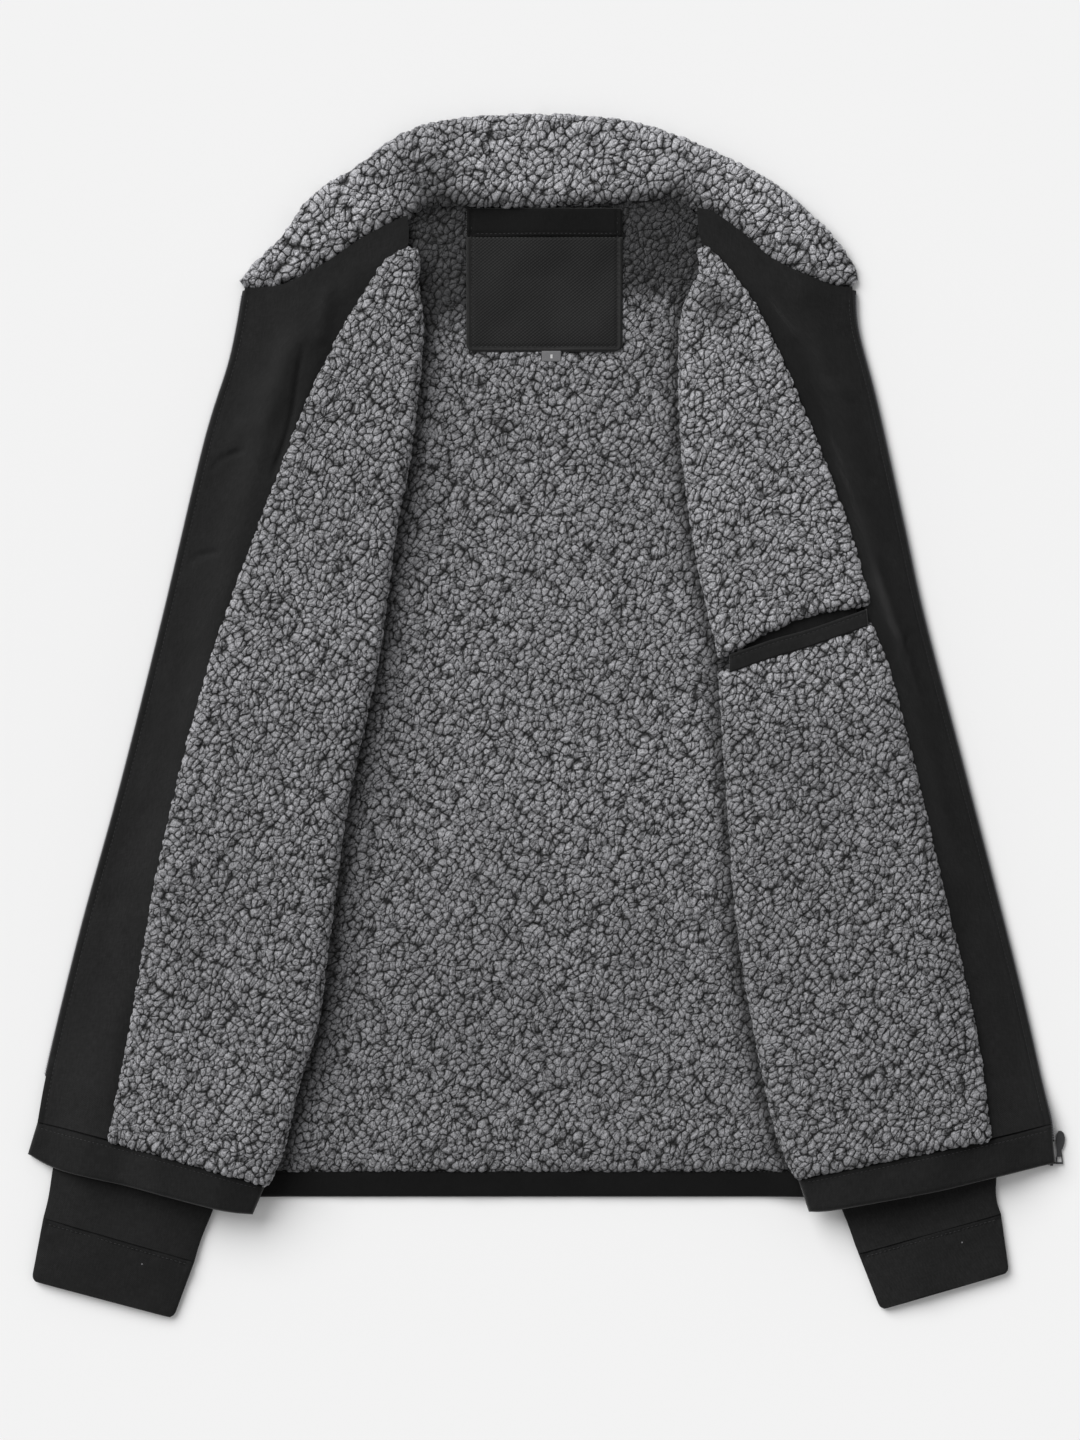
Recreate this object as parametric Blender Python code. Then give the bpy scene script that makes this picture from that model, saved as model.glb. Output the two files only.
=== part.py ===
"""A sherpa lined jacket, laid open on its back with the inside up.

The frame: origin under the middle of the jacket, on the surface that it lies on, +X to the right,
+Y towards the collar, +Z up. Sizes are in millimetres here, and MM turns them into metres.
The stack from the surface up: sleeves folded under the sides, back shell, back lining, and at each
side the front, turned back on itself: its shell, its facing and its lining round the fold.
"""

import math

import bmesh
import bpy

MM = 0.001

# Cloth thicknesses, and the clear gaps between layers
TWILL = 1.6
SHERPA = 5.2
SEAM_GAP = 0.3
LAYER_GAP = 1.0

# Heights of the stack
SLEEVE_HIGH = 8.0
BACK_HIGH = TWILL + SEAM_GAP + SHERPA
FRONT_PLY = 2.0
FRONT_LOFT = 6.0
EDGE_CLEAR = 0.6

# The fronts: the facing's margin under the lining, the gaps at the hem seam and at the edges
FACING_MARGIN = 5.0
FACING_FOOT_GAP = 0.6
SHELL_FOOT_GAP = 1.4
SHELL_EDGE_GAP = 1.0
SHELL_NOSE_GAP = 17.0
LEAST_PLY = 0.8
NECK_GAP = 1.6
BAND_SEAM_GAP = 0.5
BAND_LIFT = 0.6
BAND_ROUNDING = 1.2
BAND_END_ROUNDING = 1.8
CURVE_POINTS = 18

# The back hem band, its height and the rounding of its lower edge
BACK_BAND_HIGH = 4.6
BACK_BAND_ROUNDING = 0.9

# How softly each layer comes down
INNER_RAMP = 55.0
SIDE_MARGIN = 14.0
SIDE_FADE = 32.0
EDGE_RAMP = 42.0
NECK_RAMP = 60.0

# The fold of each front, and the collar's roll
FOLD_RETURN = 42.0
COLLAR_HIGH = 15.0
COLLAR_RETURN = 36.0
COLLAR_SEAM_HIGH = 13.0
COLLAR_FULL_WIDTH = 34
COLLAR_LEAST = 5.0
COLLAR_STATIONS = 31

# The outlines of each side as (x, y) points from the neck down to the hem
LEFT = {
    "edge": [(-212, 299), (-221, 252), (-239, 193), (-268, 71), (-298, -48), (-325, -146),
             (-348, -240), (-356, -282)],
    "seam": [(-96, 349), (-95, 328), (-118, 309), (-147, 258), (-168, 213), (-210, 103),
             (-238, 21), (-268, -101), (-289, -219), (-304, -294)],
    "fold": [(-93, 325), (-91, 300), (-88, 266), (-96, 187), (-107, 128), (-120, 36), (-140, -57),
             (-150, -129), (-161, -210), (-175, -258), (-186, -304), (-196, -325)],
    "hem": [(-362.8, -305), (-340, -316), (-288, -328), (-230, -343), (-205, -346.5)],
}
RIGHT = {
    "edge": [(216, 299), (218, 271), (231, 220), (250, 134), (264, 70), (290, -29), (327, -172),
             (347, -258), (353, -283)],
    "seam": [(103, 355), (103, 341), (121, 318), (142, 290), (163, 248), (202, 152), (224, 85),
             (241, 20), (270, -99), (298, -219), (308, -293)],
    "fold": [(107, 327), (103, 299), (96, 281), (94, 253), (96, 187), (107, 109), (121, 41), (126, -34),
             (135, -145), (147, -220), (162, -289), (175, -320)],
    "hem": [(355.4, -311), (315, -320.6), (274, -330), (203, -343), (183, -344.5)],
}
SIDES = {"left": LEFT, "right": RIGHT}

# The neck seam and the collar's outer roll, from the left front to the right front
NECK = [(-211, 301), (-182, 304), (-152, 320), (-127, 337), (-97, 352), (-76, 360), (0, 359),
        (62, 364), (88, 365), (105, 357), (118, 353), (140, 337), (160, 320), (198, 304), (214, 302)]
COLLAR = [(-214, 305), (-198, 321), (-183, 336), (-163, 363), (-131, 384), (-92, 410), (-40, 418.6),
          (25, 418.6), (79, 409), (146, 379), (187, 347), (212, 318), (217, 306)]

# Columns: y, half of the width of the back panel
BACK = [(358, 94), (335, 128), (300, 160), (250, 172), (180, 182), (100, 202), (0, 225),
        (-100, 244), (-200, 252), (-313, 255)]
BACK_HEM_DEPTH = 21.6

# Columns: x and y of the middle of the sleeve, half of its width, from the shoulder to the wrist
SLEEVES = {
    "left": [(-152, 292, 16), (-154, 276, 34), (-157, 223, 46), (-170, 139, 55), (-197, 13, 62),
             (-243, -162, 64), (-289, -328, 58), (-298.7, -362, 55)],
    "right": [(152, 292, 16), (154, 276, 34), (157, 223, 46), (169, 139, 55), (190, 13, 62),
              (229, -162, 64), (260, -329, 56), (267.8, -358, 52.5)],
}
CUFFS = {
    "left": [(-299.6, -365.4, 55), (-310.5, -406.5, 51.6)],
    "right": [(268.4, -361.2, 51.9), (278.6, -400.8, 47.0)],
}
SLEEVE_PROFILE = (-1, -0.94, -0.75, -0.4, 0, 0.4, 0.75, 0.94, 1)
SLEEVE_SIDE = 1.8
CUFF_WALL = 2.4
CUFF_HIGH = 7.5

# The hanger patch: its band over its mesh panel, and the size tab in its lower edge
PATCH_HALF = 54.6
PATCH_TOP = 357.5
PATCH_CROSS = 336.0
PATCH_FOOT = 256.0
PATCH_CORNER = 5.0
PATCH_LIFT = 0.4
TAB = {"x": 3.5, "y": 252.0, "wide": 13.6, "deep": 7.0, "thick": 0.8}

# The inside pocket on the right front, from the fold to the facing
POCKET_UPPER = [(224, 80), (184, 73), (148, 58), (122, 43)]
WELT_TOP = [(224, 76), (184, 62), (156, 54), (122, 42)]
WELT_THICK = 2.2
WELT_ENDS = (2.0, 7.0)
BAG_THICK = 0.9
BAG_GAP = 0.6
BAG_ENDS = (8.0, 18.0)
WELT_FOOT = [(225, 65), (184, 50.5), (156, 42), (122, 30)]

# The zip: tape along both front edges, slider and pull tab at the foot of the right one
TAPE_IN = 8.0
TAPE_OUT = 1.3
TAPE_THICK = 0.8
TAPE_ROOM = 1.8
TAPE_FOOT_SHARE = 0.95
LINING_LIFT = TAPE_ROOM + TWILL + 1.7
SLIDER = {"x": 350.2, "y": -303.6, "wide": 8.6, "long": 9.6, "z": 0.3, "high": 3.4}
EYE = {"x": 353.4, "thick": 2.0, "outer": 1.9, "inner": 1.0, "z": 1.9}
EYE_Y = -311.4
BAR_RADIUS = 0.6
BAR_ENDS = (351.4, 361.2)
PULL_THICK = 1.2
CORNER_LIFT = 4.6

COLOURS = {
    "twill": ((0.016, 0.016, 0.017), 0.82, 0.0),
    "sherpa": ((0.15, 0.15, 0.155), 0.95, 0.0),
    "collar": ((0.19, 0.185, 0.19), 0.95, 0.0),
    "mesh": ((0.022, 0.022, 0.022), 0.75, 0.0),
    "tab": ((0.16, 0.16, 0.16), 0.7, 0.0),
    "tape": ((0.02, 0.02, 0.02), 0.8, 0.0),
    "metal": ((0.05, 0.05, 0.052), 0.42, 0.6),
}


# ---------------------------------------------------------------- plan geometry


def smooth(t):
    """A soft step from 0 to 1."""
    t = min(1.0, max(0.0, t))
    return t * t * (3 - 2 * t)


def read_row(table, y):
    """The values of a table at y, its rows running down from high y, straight between rows."""
    if y >= table[0][0]:
        return table[0][1:]
    for above, below in zip(table, table[1:]):
        if y >= below[0]:
            share = (above[0] - y) / (above[0] - below[0])
            return tuple(a + (b - a) * share for a, b in zip(above[1:], below[1:]))
    return table[-1][1:]


def spline_point(points, i, t):
    """A point of the Catmull-Rom curve through the points, on the stretch after point i."""
    a, b = points[max(i - 1, 0)], points[i]
    c, d = points[i + 1], points[min(i + 2, len(points) - 1)]
    return tuple(
        0.5 * (2 * b[k] + (c[k] - a[k]) * t + (2 * a[k] - 5 * b[k] + 4 * c[k] - d[k]) * t ** 2
               + (3 * b[k] - a[k] - 3 * c[k] + d[k]) * t ** 3)
        for k in (0, 1)
    )


def line_through(points, count):
    """count points, evenly spaced along the smooth curve through the given ones."""
    fine = [spline_point(points, i, j / 12) for i in range(len(points) - 1) for j in range(12)]
    fine.append(points[-1])
    run = [0.0]
    for a, b in zip(fine, fine[1:]):
        run.append(run[-1] + math.dist(a, b))
    found = []
    at = 0
    for k in range(count):
        goal = run[-1] * k / (count - 1)
        while at < len(fine) - 2 and run[at + 1] < goal:
            at += 1
        share = (goal - run[at]) / max(run[at + 1] - run[at], 1e-9)
        found.append(tuple(p + (q - p) * min(share, 1.0) for p, q in zip(fine[at], fine[at + 1])))
    return found


def mix(a, b, share):
    """The point at a share of the way from a to b."""
    return tuple(p + (q - p) * share for p, q in zip(a, b))


def patch_between(first, second, shares, head=None, foot=None):
    """Rows of plan points from the curve first to the curve second, which have as many points.

    shares are the columns, 0 on first and 1 on second, or a function that gives them for a width.
    head and foot, where given, are the curves that the top and bottom rows follow, and the rows
    near them bend with them.
    """
    stations = len(first)
    curves = {0: line_through(head, 101) if head else None,
              -1: line_through(foot, 101) if foot else None}
    rows = []
    for v in range(stations):
        down = v / (stations - 1)
        columns = shares(math.dist(first[v], second[v])) if callable(shares) else shares
        row = [mix(first[v], second[v], share) for share in columns]
        for end, weight in ((0, (1 - down) ** 2), (-1, down ** 2)):
            if curves[end] and weight > 0:
                ends = [curves[end][round(share * 100)] for share in columns]
                chord = [mix(first[end], second[end], share) for share in columns]
                row = [tuple(p[k] + (e[k] - c[k]) * weight for k in (0, 1))
                       for p, e, c in zip(row, ends, chord)]
        rows.append(row)
    return rows


# ---------------------------------------------------------------- heights


def sleeve_line(x, y):
    """Middle and half width, measured along x, of the sleeve on that side at y."""
    table = [(row[1], row[0], row[2]) for row in SLEEVES["left" if x < 0 else "right"]]
    return read_row(table, y)


def sleeve_rise(x, y):
    """Height that the sleeve gives to what lies over it: level over it, then down towards the middle."""
    middle, half = sleeve_line(x, y)
    inner = abs(middle) - half
    across = smooth((abs(x) - inner + INNER_RAMP) / INNER_RAMP)
    end = smooth((340 - y) / 60)
    return (SLEEVE_HIGH + LAYER_GAP) * across * end


def back_half(y):
    """Half of the back panel's width at y."""
    return read_row(BACK, y)[0]


def back_top(x, y):
    """Top of the back lining, and past the side seam down to what lies there."""
    fade = smooth((back_half(y) + SIDE_MARGIN + SIDE_FADE - abs(x)) / SIDE_FADE)
    return sleeve_rise(x, y) + BACK_HIGH * fade


def corner_lift(x, y):
    """The slider lifts the right front's lower corner off the surface."""
    return CORNER_LIFT * smooth((-245 - y) / 40) if x > 0 else 0.0


def front_low(x, y, from_edge):
    """Underside of a front, from_edge being the distance from its zip edge."""
    base = EDGE_CLEAR + corner_lift(x, y)
    high = back_top(x, y) + LAYER_GAP
    return base + max(high - base, 0.0) * smooth(from_edge / EDGE_RAMP)


def front_high(x, y, from_edge, from_neck):
    """Top of a front's shell, under its facing and its lining."""
    loft = FRONT_LOFT * smooth((from_edge - 8) / 45) * smooth(from_neck / NECK_RAMP)
    return front_low(x, y, from_edge) + FRONT_PLY + loft


# ---------------------------------------------------------------- solids


def material_of(name):
    """The Principled material of a finish, made once."""
    found = bpy.data.materials.get(name)
    if found:
        return found
    colour, rough, metal = COLOURS[name]
    made = bpy.data.materials.new(name)
    made.use_nodes = True
    shader = made.node_tree.nodes["Principled BSDF"]
    shader.inputs["Base Color"].default_value = (*colour, 1)
    shader.inputs["Roughness"].default_value = rough
    shader.inputs["Metallic"].default_value = metal
    made.diffuse_color = (*colour, 1)
    return made


def add_object(name, bm, finish, collection, to_metres=True):
    """Links a bmesh as a named object, smooth, with its material and outward faces."""
    if to_metres:
        bmesh.ops.scale(bm, vec=(MM, MM, MM), verts=bm.verts)
    bmesh.ops.recalc_face_normals(bm, faces=bm.faces)
    mesh = bpy.data.meshes.new(name)
    bm.to_mesh(mesh)
    bm.free()
    mesh.shade_smooth()
    mesh.set_sharp_from_angle(angle=math.radians(40))
    mesh.materials.append(material_of(finish))
    made = bpy.data.objects.new(name, mesh)
    collection.objects.link(made)
    return made


def loft(name, rings, finish, collection):
    """A closed cloth wall through rings of points.

    Each ring goes out along one face of the wall and comes back along the other, so that point j
    lies over point -1-j, and the two end rings are closed straight across.
    """
    bm = bmesh.new()
    stations = [[bm.verts.new(point) for point in ring] for ring in rings]
    for upper, lower in zip(stations, stations[1:]):
        for j in range(len(upper)):
            k = (j + 1) % len(upper)
            # Both faces of the wall are split along the same diagonals, so that walls nest
            if j < len(upper) // 2:
                bm.faces.new((upper[j], upper[k], lower[k]))
                bm.faces.new((upper[j], lower[k], lower[j]))
            else:
                bm.faces.new((upper[j], upper[k], lower[j]))
                bm.faces.new((upper[k], lower[k], lower[j]))
    for end in (stations[0], stations[-1]):
        last = len(end) - 1
        for j in range(len(end) // 2 - 1):
            bm.faces.new((end[j], end[j + 1], end[last - j - 1], end[last - j]))
    return add_object(name, bm, finish, collection)


def wall_rings(rows, top, bottom):
    """Rings of a flat-lying wall: rows of plan points under the heights top and over bottom."""
    rings = []
    for v, row in enumerate(rows):
        over = [(x, y, top(x, y, v, row)) for x, y in row]
        under = [(x, y, bottom(x, y, v, row)) for x, y in row]
        rings.append(over + under[::-1])
    return rings


def hooked_ring(row, top, low, wall, back):
    """One ring of a cloth that runs along a row of plan points, turns down round a fold at its end
    and comes back underneath by the length back. top and low give its outer heights."""
    ahead, end = row[-2], row[-1]
    length = math.dist(ahead, end)
    way = tuple((e - a) / length for a, e in zip(ahead, end))
    radius = max((top(*end) - low(*end)) / 2, wall + 0.4)
    centre = tuple(e - w * radius for e, w in zip(end, way))
    centre_z = low(*centre) + radius
    flat = [p for p in row if (p[0] - centre[0]) * way[0] + (p[1] - centre[1]) * way[1] < -1.0]
    outer = [(x, y, top(x, y)) for x, y in flat]
    inner = [(x, y, top(x, y) - wall) for x, y in flat]
    for step in range(7):
        angle = math.pi / 2 - math.pi * step / 6
        for path, r in ((outer, radius), (inner, radius - wall)):
            path.append((centre[0] + way[0] * r * math.cos(angle),
                         centre[1] + way[1] * r * math.cos(angle),
                         centre_z + r * math.sin(angle)))
    for share in (0.3, 0.65, 1.0):
        x, y = (c - w * back * share for c, w in zip(centre, way))
        outer.append((x, y, low(x, y)))
        inner.append((x, y, low(x, y) + wall))
    return outer + inner[::-1]


def level_rings(rings):
    """The rings, each left with as many points as the shortest has, its first point kept."""
    fewest = min(len(ring) for ring in rings) // 2
    same = []
    for ring in rings:
        half = len(ring) // 2
        extra = half - fewest
        outer, inner = ring[:half], ring[half:][::-1]
        keep = [0] + list(range(1 + extra, half))
        same.append([outer[k] for k in keep] + [inner[k] for k in keep][::-1])
    return same


# ---------------------------------------------------------------- back and collar


def back_columns(y):
    """Columns across the back panel, close together where it climbs onto the sleeves."""
    half = back_half(y)
    right = []
    for side in (-1, 1):
        middle, width = sleeve_line(side, y)
        start = min(abs(middle) - width - INNER_RAMP, half - 60)
        climb = [start * 0.5, start] + [start + INNER_RAMP * k / 4 for k in (1, 2, 3, 4)]
        climb = [min(x, half - 4) for x in climb]
        climb = [x if x < half - 4 else half - 4 * (len(climb) - i) / len(climb)
                 for i, x in enumerate(climb)]
        right.append([side * x for x in climb + [half]])
    return right[0][::-1] + [0.0] + right[1]


def neck_y(x):
    """Height along y of the neck seam at x."""
    for a, b in zip(NECK, NECK[1:]):
        if a[0] <= x <= b[0]:
            return a[1] + (b[1] - a[1]) * (x - a[0]) / (b[0] - a[0])
    return NECK[0][1]


def build_back(collection):
    """The back's shell, its lining and its hem band, over the sleeves."""
    stations = [355, 335, 318, 300, 275, 250, 215, 180, 140, 100, 50, 0, -50, -100, -155, -210,
                -262, -313]
    rows = [[(x, y) for x in back_columns(y)] for y in stations]
    rows[0] = [(x, neck_y(x) - SEAM_GAP) for x, _ in rows[0]]
    shell_top = wall_rings(
        rows, lambda x, y, v, row: sleeve_rise(x, y) + TWILL, lambda x, y, v, row: sleeve_rise(x, y))
    loft("back_shell", shell_top, "twill", collection)
    lining = wall_rings(
        rows, lambda x, y, v, row: sleeve_rise(x, y) + BACK_HIGH,
        lambda x, y, v, row: sleeve_rise(x, y) + TWILL + SEAM_GAP)
    loft("back_lining", lining, "sherpa", collection)
    foot = stations[-1]
    hem = [[(x, foot - SEAM_GAP - BACK_HEM_DEPTH * k / 2) for x in back_columns(foot)]
           for k in range(3)]
    band = wall_rings(
        hem,
        lambda x, y, v, row: sleeve_rise(x, foot) + BACK_BAND_HIGH - BACK_BAND_ROUNDING * (v == 2),
        lambda x, y, v, row: sleeve_rise(x, foot) + BACK_BAND_ROUNDING * (v == 2))
    loft("back_hem_band", band, "twill", collection)


def build_collar(collection):
    """The collar, turned over at its roll, and the plain cloth inside it where it is full."""
    neck = line_through(NECK, COLLAR_STATIONS)
    roll = line_through(COLLAR, COLLAR_STATIONS)
    outer_rings = []
    inner_rings = []
    for v in range(COLLAR_STATIONS):
        width = math.dist(neck[v], roll[v])
        way = tuple((r - n) / width for n, r in zip(neck[v], roll[v]))
        start = tuple(n + SEAM_GAP * 4 * w for n, w in zip(neck[v], way))
        size = min(1.0, width / COLLAR_FULL_WIDTH)
        row = [mix(start, roll[v], share) for share in (0, 0.25, 0.5, 0.7, 1)]
        high = max(COLLAR_HIGH * size, COLLAR_LEAST)
        wall = SHERPA * max(size, 0.3)
        seam_high = min(COLLAR_SEAM_HIGH, high)

        def top(x, y, high=high, seam_high=seam_high, start=start, width=width):
            out = math.dist((x, y), start) / width
            return seam_high + (high - seam_high) * smooth(out * 2)

        room = math.dist(start, roll[v]) - high / 2 - 1
        back = min(COLLAR_RETURN, max(room, 0.6))
        flat = [mix(start, roll[v], (1 - (high / 2) / math.dist(start, roll[v])) * share * 0.96)
                for share in (0, 0.33, 0.67, 1)]
        ring = hooked_ring(flat + [row[-1]], top, lambda x, y: 0.0, wall, back)
        outer_rings.append(ring)
        if size == 1.0:
            under = [mix(start, roll[v], share) for share in (0.06, 0.3, 0.55)]
            over = [(x, y, top(x, y) - wall - LAYER_GAP * 1.5) for x, y in under]
            below = [(x, y, wall + LAYER_GAP * 0.5) for x, y in under]
            inner_rings.append(over + below[::-1])
    loft("collar", level_rings(outer_rings), "collar", collection)
    loft("under_collar", inner_rings, "twill", collection)


# ---------------------------------------------------------------- fronts


def edge_distance(side, x, y):
    """Distance from the front's zip edge, measured square to it."""
    line = line_through(side["edge"] + [side["hem"][0]], 40)
    return min(
        distance_to_segment((x, y), a, b) for a, b in zip(line, line[1:])
    )


def distance_to_segment(p, a, b):
    """Distance from a plan point to the straight part between two others."""
    dx, dy = b[0] - a[0], b[1] - a[1]
    along = ((p[0] - a[0]) * dx + (p[1] - a[1]) * dy) / (dx * dx + dy * dy)
    along = min(1.0, max(0.0, along))
    return math.dist(p, (a[0] + dx * along, a[1] + dy * along))


def shell_columns(width):
    """Columns of a front's shell: close at the zip edge, and where the lining comes back under it."""
    from_edge = (0, 4, 10, 20, 34)
    from_nose = (FOLD_RETURN + 14, FOLD_RETURN + 2, 31, 18, 8, 0)
    between = width - from_edge[-1] - from_nose[0]
    middle = (from_edge[-1] + between / 3, from_edge[-1] + between * 2 / 3)
    return [at / width for at in from_edge + middle] + [1 - at / width for at in from_nose]


def neck_distance(x, y):
    """Distance from the neck seam."""
    return min(distance_to_segment((x, y), a, b) for a, b in zip(NECK, NECK[1:]))


def shell_top(side, x, y):
    """Top of a front's shell, under its facing and its lining."""
    return front_high(x, y, edge_distance(side, x, y), neck_distance(x, y))


def neck_of(name):
    """The stretch of the neck seam over one front, from its zip edge inwards, just below the seam."""
    if name == "left":
        points = [p for p in NECK if p[0] <= -90]
    else:
        points = [p for p in NECK if p[0] >= 104][::-1]
    return [(x, y - NECK_GAP) for x, y in points]


def hem_line(side, above):
    """The seam of the hem band, from the zip edge to the fold, moved up by a gap."""
    points = [side["edge"][-1], side["seam"][-1], side["fold"][-1]]
    return [(x, y + above) for x, y in points]


def inset(points, towards, amount):
    """A curve moved sideways, by amount, towards another with as many points."""
    moved = []
    for p, q in zip(points, towards):
        moved.append(mix(p, q, amount / max(math.dist(p, q), amount)))
    return moved


def build_front(name, collection):
    """One front, turned back on itself: its facing, its folded shell and its lining."""
    side = SIDES[name]
    edge = line_through(side["edge"], CURVE_POINTS)
    seam = line_through(side["seam"], CURVE_POINTS)
    fold = line_through(side["fold"], CURVE_POINTS)
    neck = neck_of(name)

    # The facing: from the zip edge to just under the lining's edge
    margin = inset(seam, fold, FACING_MARGIN)
    foot = hem_line(side, FACING_FOOT_GAP)
    facing = patch_between(edge, margin, (0, 0.1, 0.22, 0.36, 0.52, 0.7, 0.86, 1), neck, foot[:2])
    rings = wall_rings(
        facing, lambda x, y, v, row: shell_top(side, x, y) + TAPE_ROOM + TWILL,
        lambda x, y, v, row: shell_top(side, x, y) + TAPE_ROOM)
    loft(f"facing_{name}", rings, "twill", collection)

    # The shell and the folded layers that nobody sees, as one rounded solid
    nose = inset(fold, edge, SHELL_NOSE_GAP)
    inner_edge = inset(edge, fold, SHELL_EDGE_GAP)
    last = [inner_edge[-1], side["seam"][-1], nose[-1]]
    last = [(x, y + SHELL_FOOT_GAP) for x, y in last]
    folded = patch_between(inner_edge, nose, shell_columns, foot=last)[1:]

    def low(x, y, v, row):
        reach = math.dist((x, y), row[-1])
        lift = (SHERPA + LAYER_GAP * 1.3) * smooth((FOLD_RETURN + 12 - reach) / 10)
        return front_low(x, y, edge_distance(side, x, y)) + lift

    def high(x, y, v, row):
        nose_drop = 1.6 if (x, y) == row[-1] else 0.0
        return max(shell_top(side, x, y) - nose_drop, low(x, y, v, row) + LEAST_PLY)

    loft(f"front_shell_{name}", wall_rings(folded, high, low), "twill", collection)

    # The lining: over the facing's margin, round the fold and back under it
    def lining_top(x, y):
        return shell_top(side, x, y) + LINING_LIFT + SHERPA

    def lining_low(x, y):
        return back_top(x, y) + LAYER_GAP

    def lining(node, first, second, stations, head=None, foot=None):
        shares = (0, 0.25, 0.5, 0.75, 1)
        rows = patch_between(
            line_through(first, stations), line_through(second, stations), shares, head, foot)
        rings = []
        for row in rows:
            back = min(FOLD_RETURN, 0.55 * math.dist(row[0], row[-1]))
            rings.append(hooked_ring(row, lining_top, lining_low, SHERPA, back))
        loft(node, level_rings(rings), "sherpa", collection)

    seam_line = side["seam"][2:]
    fold_line = side["fold"][1:]
    if name == "left":
        lining("front_lining_left", seam_line, fold_line, 20)
        return
    above = [p for p in seam_line if p[1] > 90] + [POCKET_UPPER[0]]
    above_fold = [p for p in fold_line if p[1] > 50] + [POCKET_UPPER[-1]]
    lining("front_lining_right_upper", above, above_fold, 9, foot=POCKET_UPPER)
    below = [WELT_FOOT[0]] + [p for p in seam_line if p[1] < 60]
    below_fold = [WELT_FOOT[-1]] + [p for p in fold_line if p[1] < 25]
    lining("front_lining_right_lower", below, below_fold, 12,
           head=[(x, y - SEAM_GAP) for x, y in WELT_FOOT])


def build_hem(name, collection):
    """The hem band of one front: one solid, as thick as the folded layers that it closes."""
    side = SIDES[name]
    count = 12
    first = line_through(hem_line(side, -BAND_SEAM_GAP), count)
    second = line_through(side["hem"], count)
    rings = []
    for v in range(count):
        row = [mix(first[v], second[v], share) for share in (0, 0.5, 0.9, 1)]
        ends = BAND_END_ROUNDING * (v in (0, count - 1))
        over = []
        under = []
        for u, (x, y) in enumerate(row):
            rounding = BAND_ROUNDING * (u == 3) + ends
            top = shell_top(side, x, y) + TAPE_ROOM + TWILL + BAND_LIFT
            low = front_low(x, y, edge_distance(side, x, y))
            middle = (top + low) / 2
            over.append((x, y, max(top - rounding, middle + LEAST_PLY)))
            under.append((x, y, min(low + rounding * 0.5, middle - LEAST_PLY)))
        rings.append(over + under[::-1])
    loft(f"hem_band_{name}", rings, "twill", collection)


def build_pocket(collection):
    """Welt and bag of the inside pocket, lying in the right front's lining."""
    side = RIGHT
    count = 9
    top_line = line_through(WELT_TOP, count)
    foot_line = line_through(WELT_FOOT, count)
    top_line = inset_ends(top_line, *WELT_ENDS)
    foot_line = inset_ends(foot_line, *WELT_ENDS)
    rings = []
    for a, b in zip(top_line, foot_line):
        row = [mix(a, b, share) for share in (0.0, 0.5, 0.97)]
        over = [(x, y, shell_top(side, x, y) + LINING_LIFT + SHERPA) for x, y in row]
        under = [(x, y, z - WELT_THICK) for x, y, z in over]
        rings.append(over + under[::-1])
    loft("pocket_welt", rings, "twill", collection)
    bag_top = inset_ends(line_through([(x, y + 9) for x, y in POCKET_UPPER], count), *BAG_ENDS)
    bag_foot = inset_ends(line_through([(x, y - 2) for x, y in WELT_FOOT], count), *BAG_ENDS)
    rings = []
    for a, b in zip(bag_top, bag_foot):
        row = [mix(a, b, share) for share in (0, 0.5, 1)]
        under = [(x, y, shell_top(side, x, y) + BAG_GAP) for x, y in row]
        over = [(x, y, z + BAG_THICK) for x, y, z in under]
        rings.append(over + under[::-1])
    loft("pocket_bag", rings, "twill", collection)


def inset_ends(line, first, last):
    """A curve with its two ends drawn in by the given lengths."""
    whole = sum(math.dist(a, b) for a, b in zip(line, line[1:]))
    fine = line_through(line, 201)
    start = round(200 * first / whole)
    stop = 200 - round(200 * last / whole)
    return [fine[round(start + (stop - start) * k / (len(line) - 1))] for k in range(len(line))]


# ---------------------------------------------------------------- sleeves


def across(table, k):
    """Unit vector across the sleeve at row k of its table."""
    a, b = table[max(k - 1, 0)], table[min(k + 1, len(table) - 1)]
    dx, dy = b[0] - a[0], b[1] - a[1]
    length = math.hypot(dx, dy)
    return -dy / length, dx / length


def build_sleeve(name, collection):
    """One folded-under sleeve: flat below, rounded above, and its cuff, a flattened tube."""
    table = SLEEVES[name]
    rings = []
    for k, (x, y, half) in enumerate(table):
        nx, ny = across(table, k)
        high = SLEEVE_HIGH * (0.5 if k == 0 else 1.0)
        over = []
        under = []
        for s in SLEEVE_PROFILE:
            crown = (1 - abs(s) ** 5) ** 0.5
            px, py = x + nx * half * s, y + ny * half * s
            over.append((px, py, SLEEVE_SIDE + (high - SLEEVE_SIDE) * crown))
            under.append((px, py, SLEEVE_SIDE / 2 * (abs(s) == 1)))
        rings.append(over + under[::-1])
    loft(f"sleeve_{name}", rings, "twill", collection)
    build_cuff(name, collection)


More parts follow.
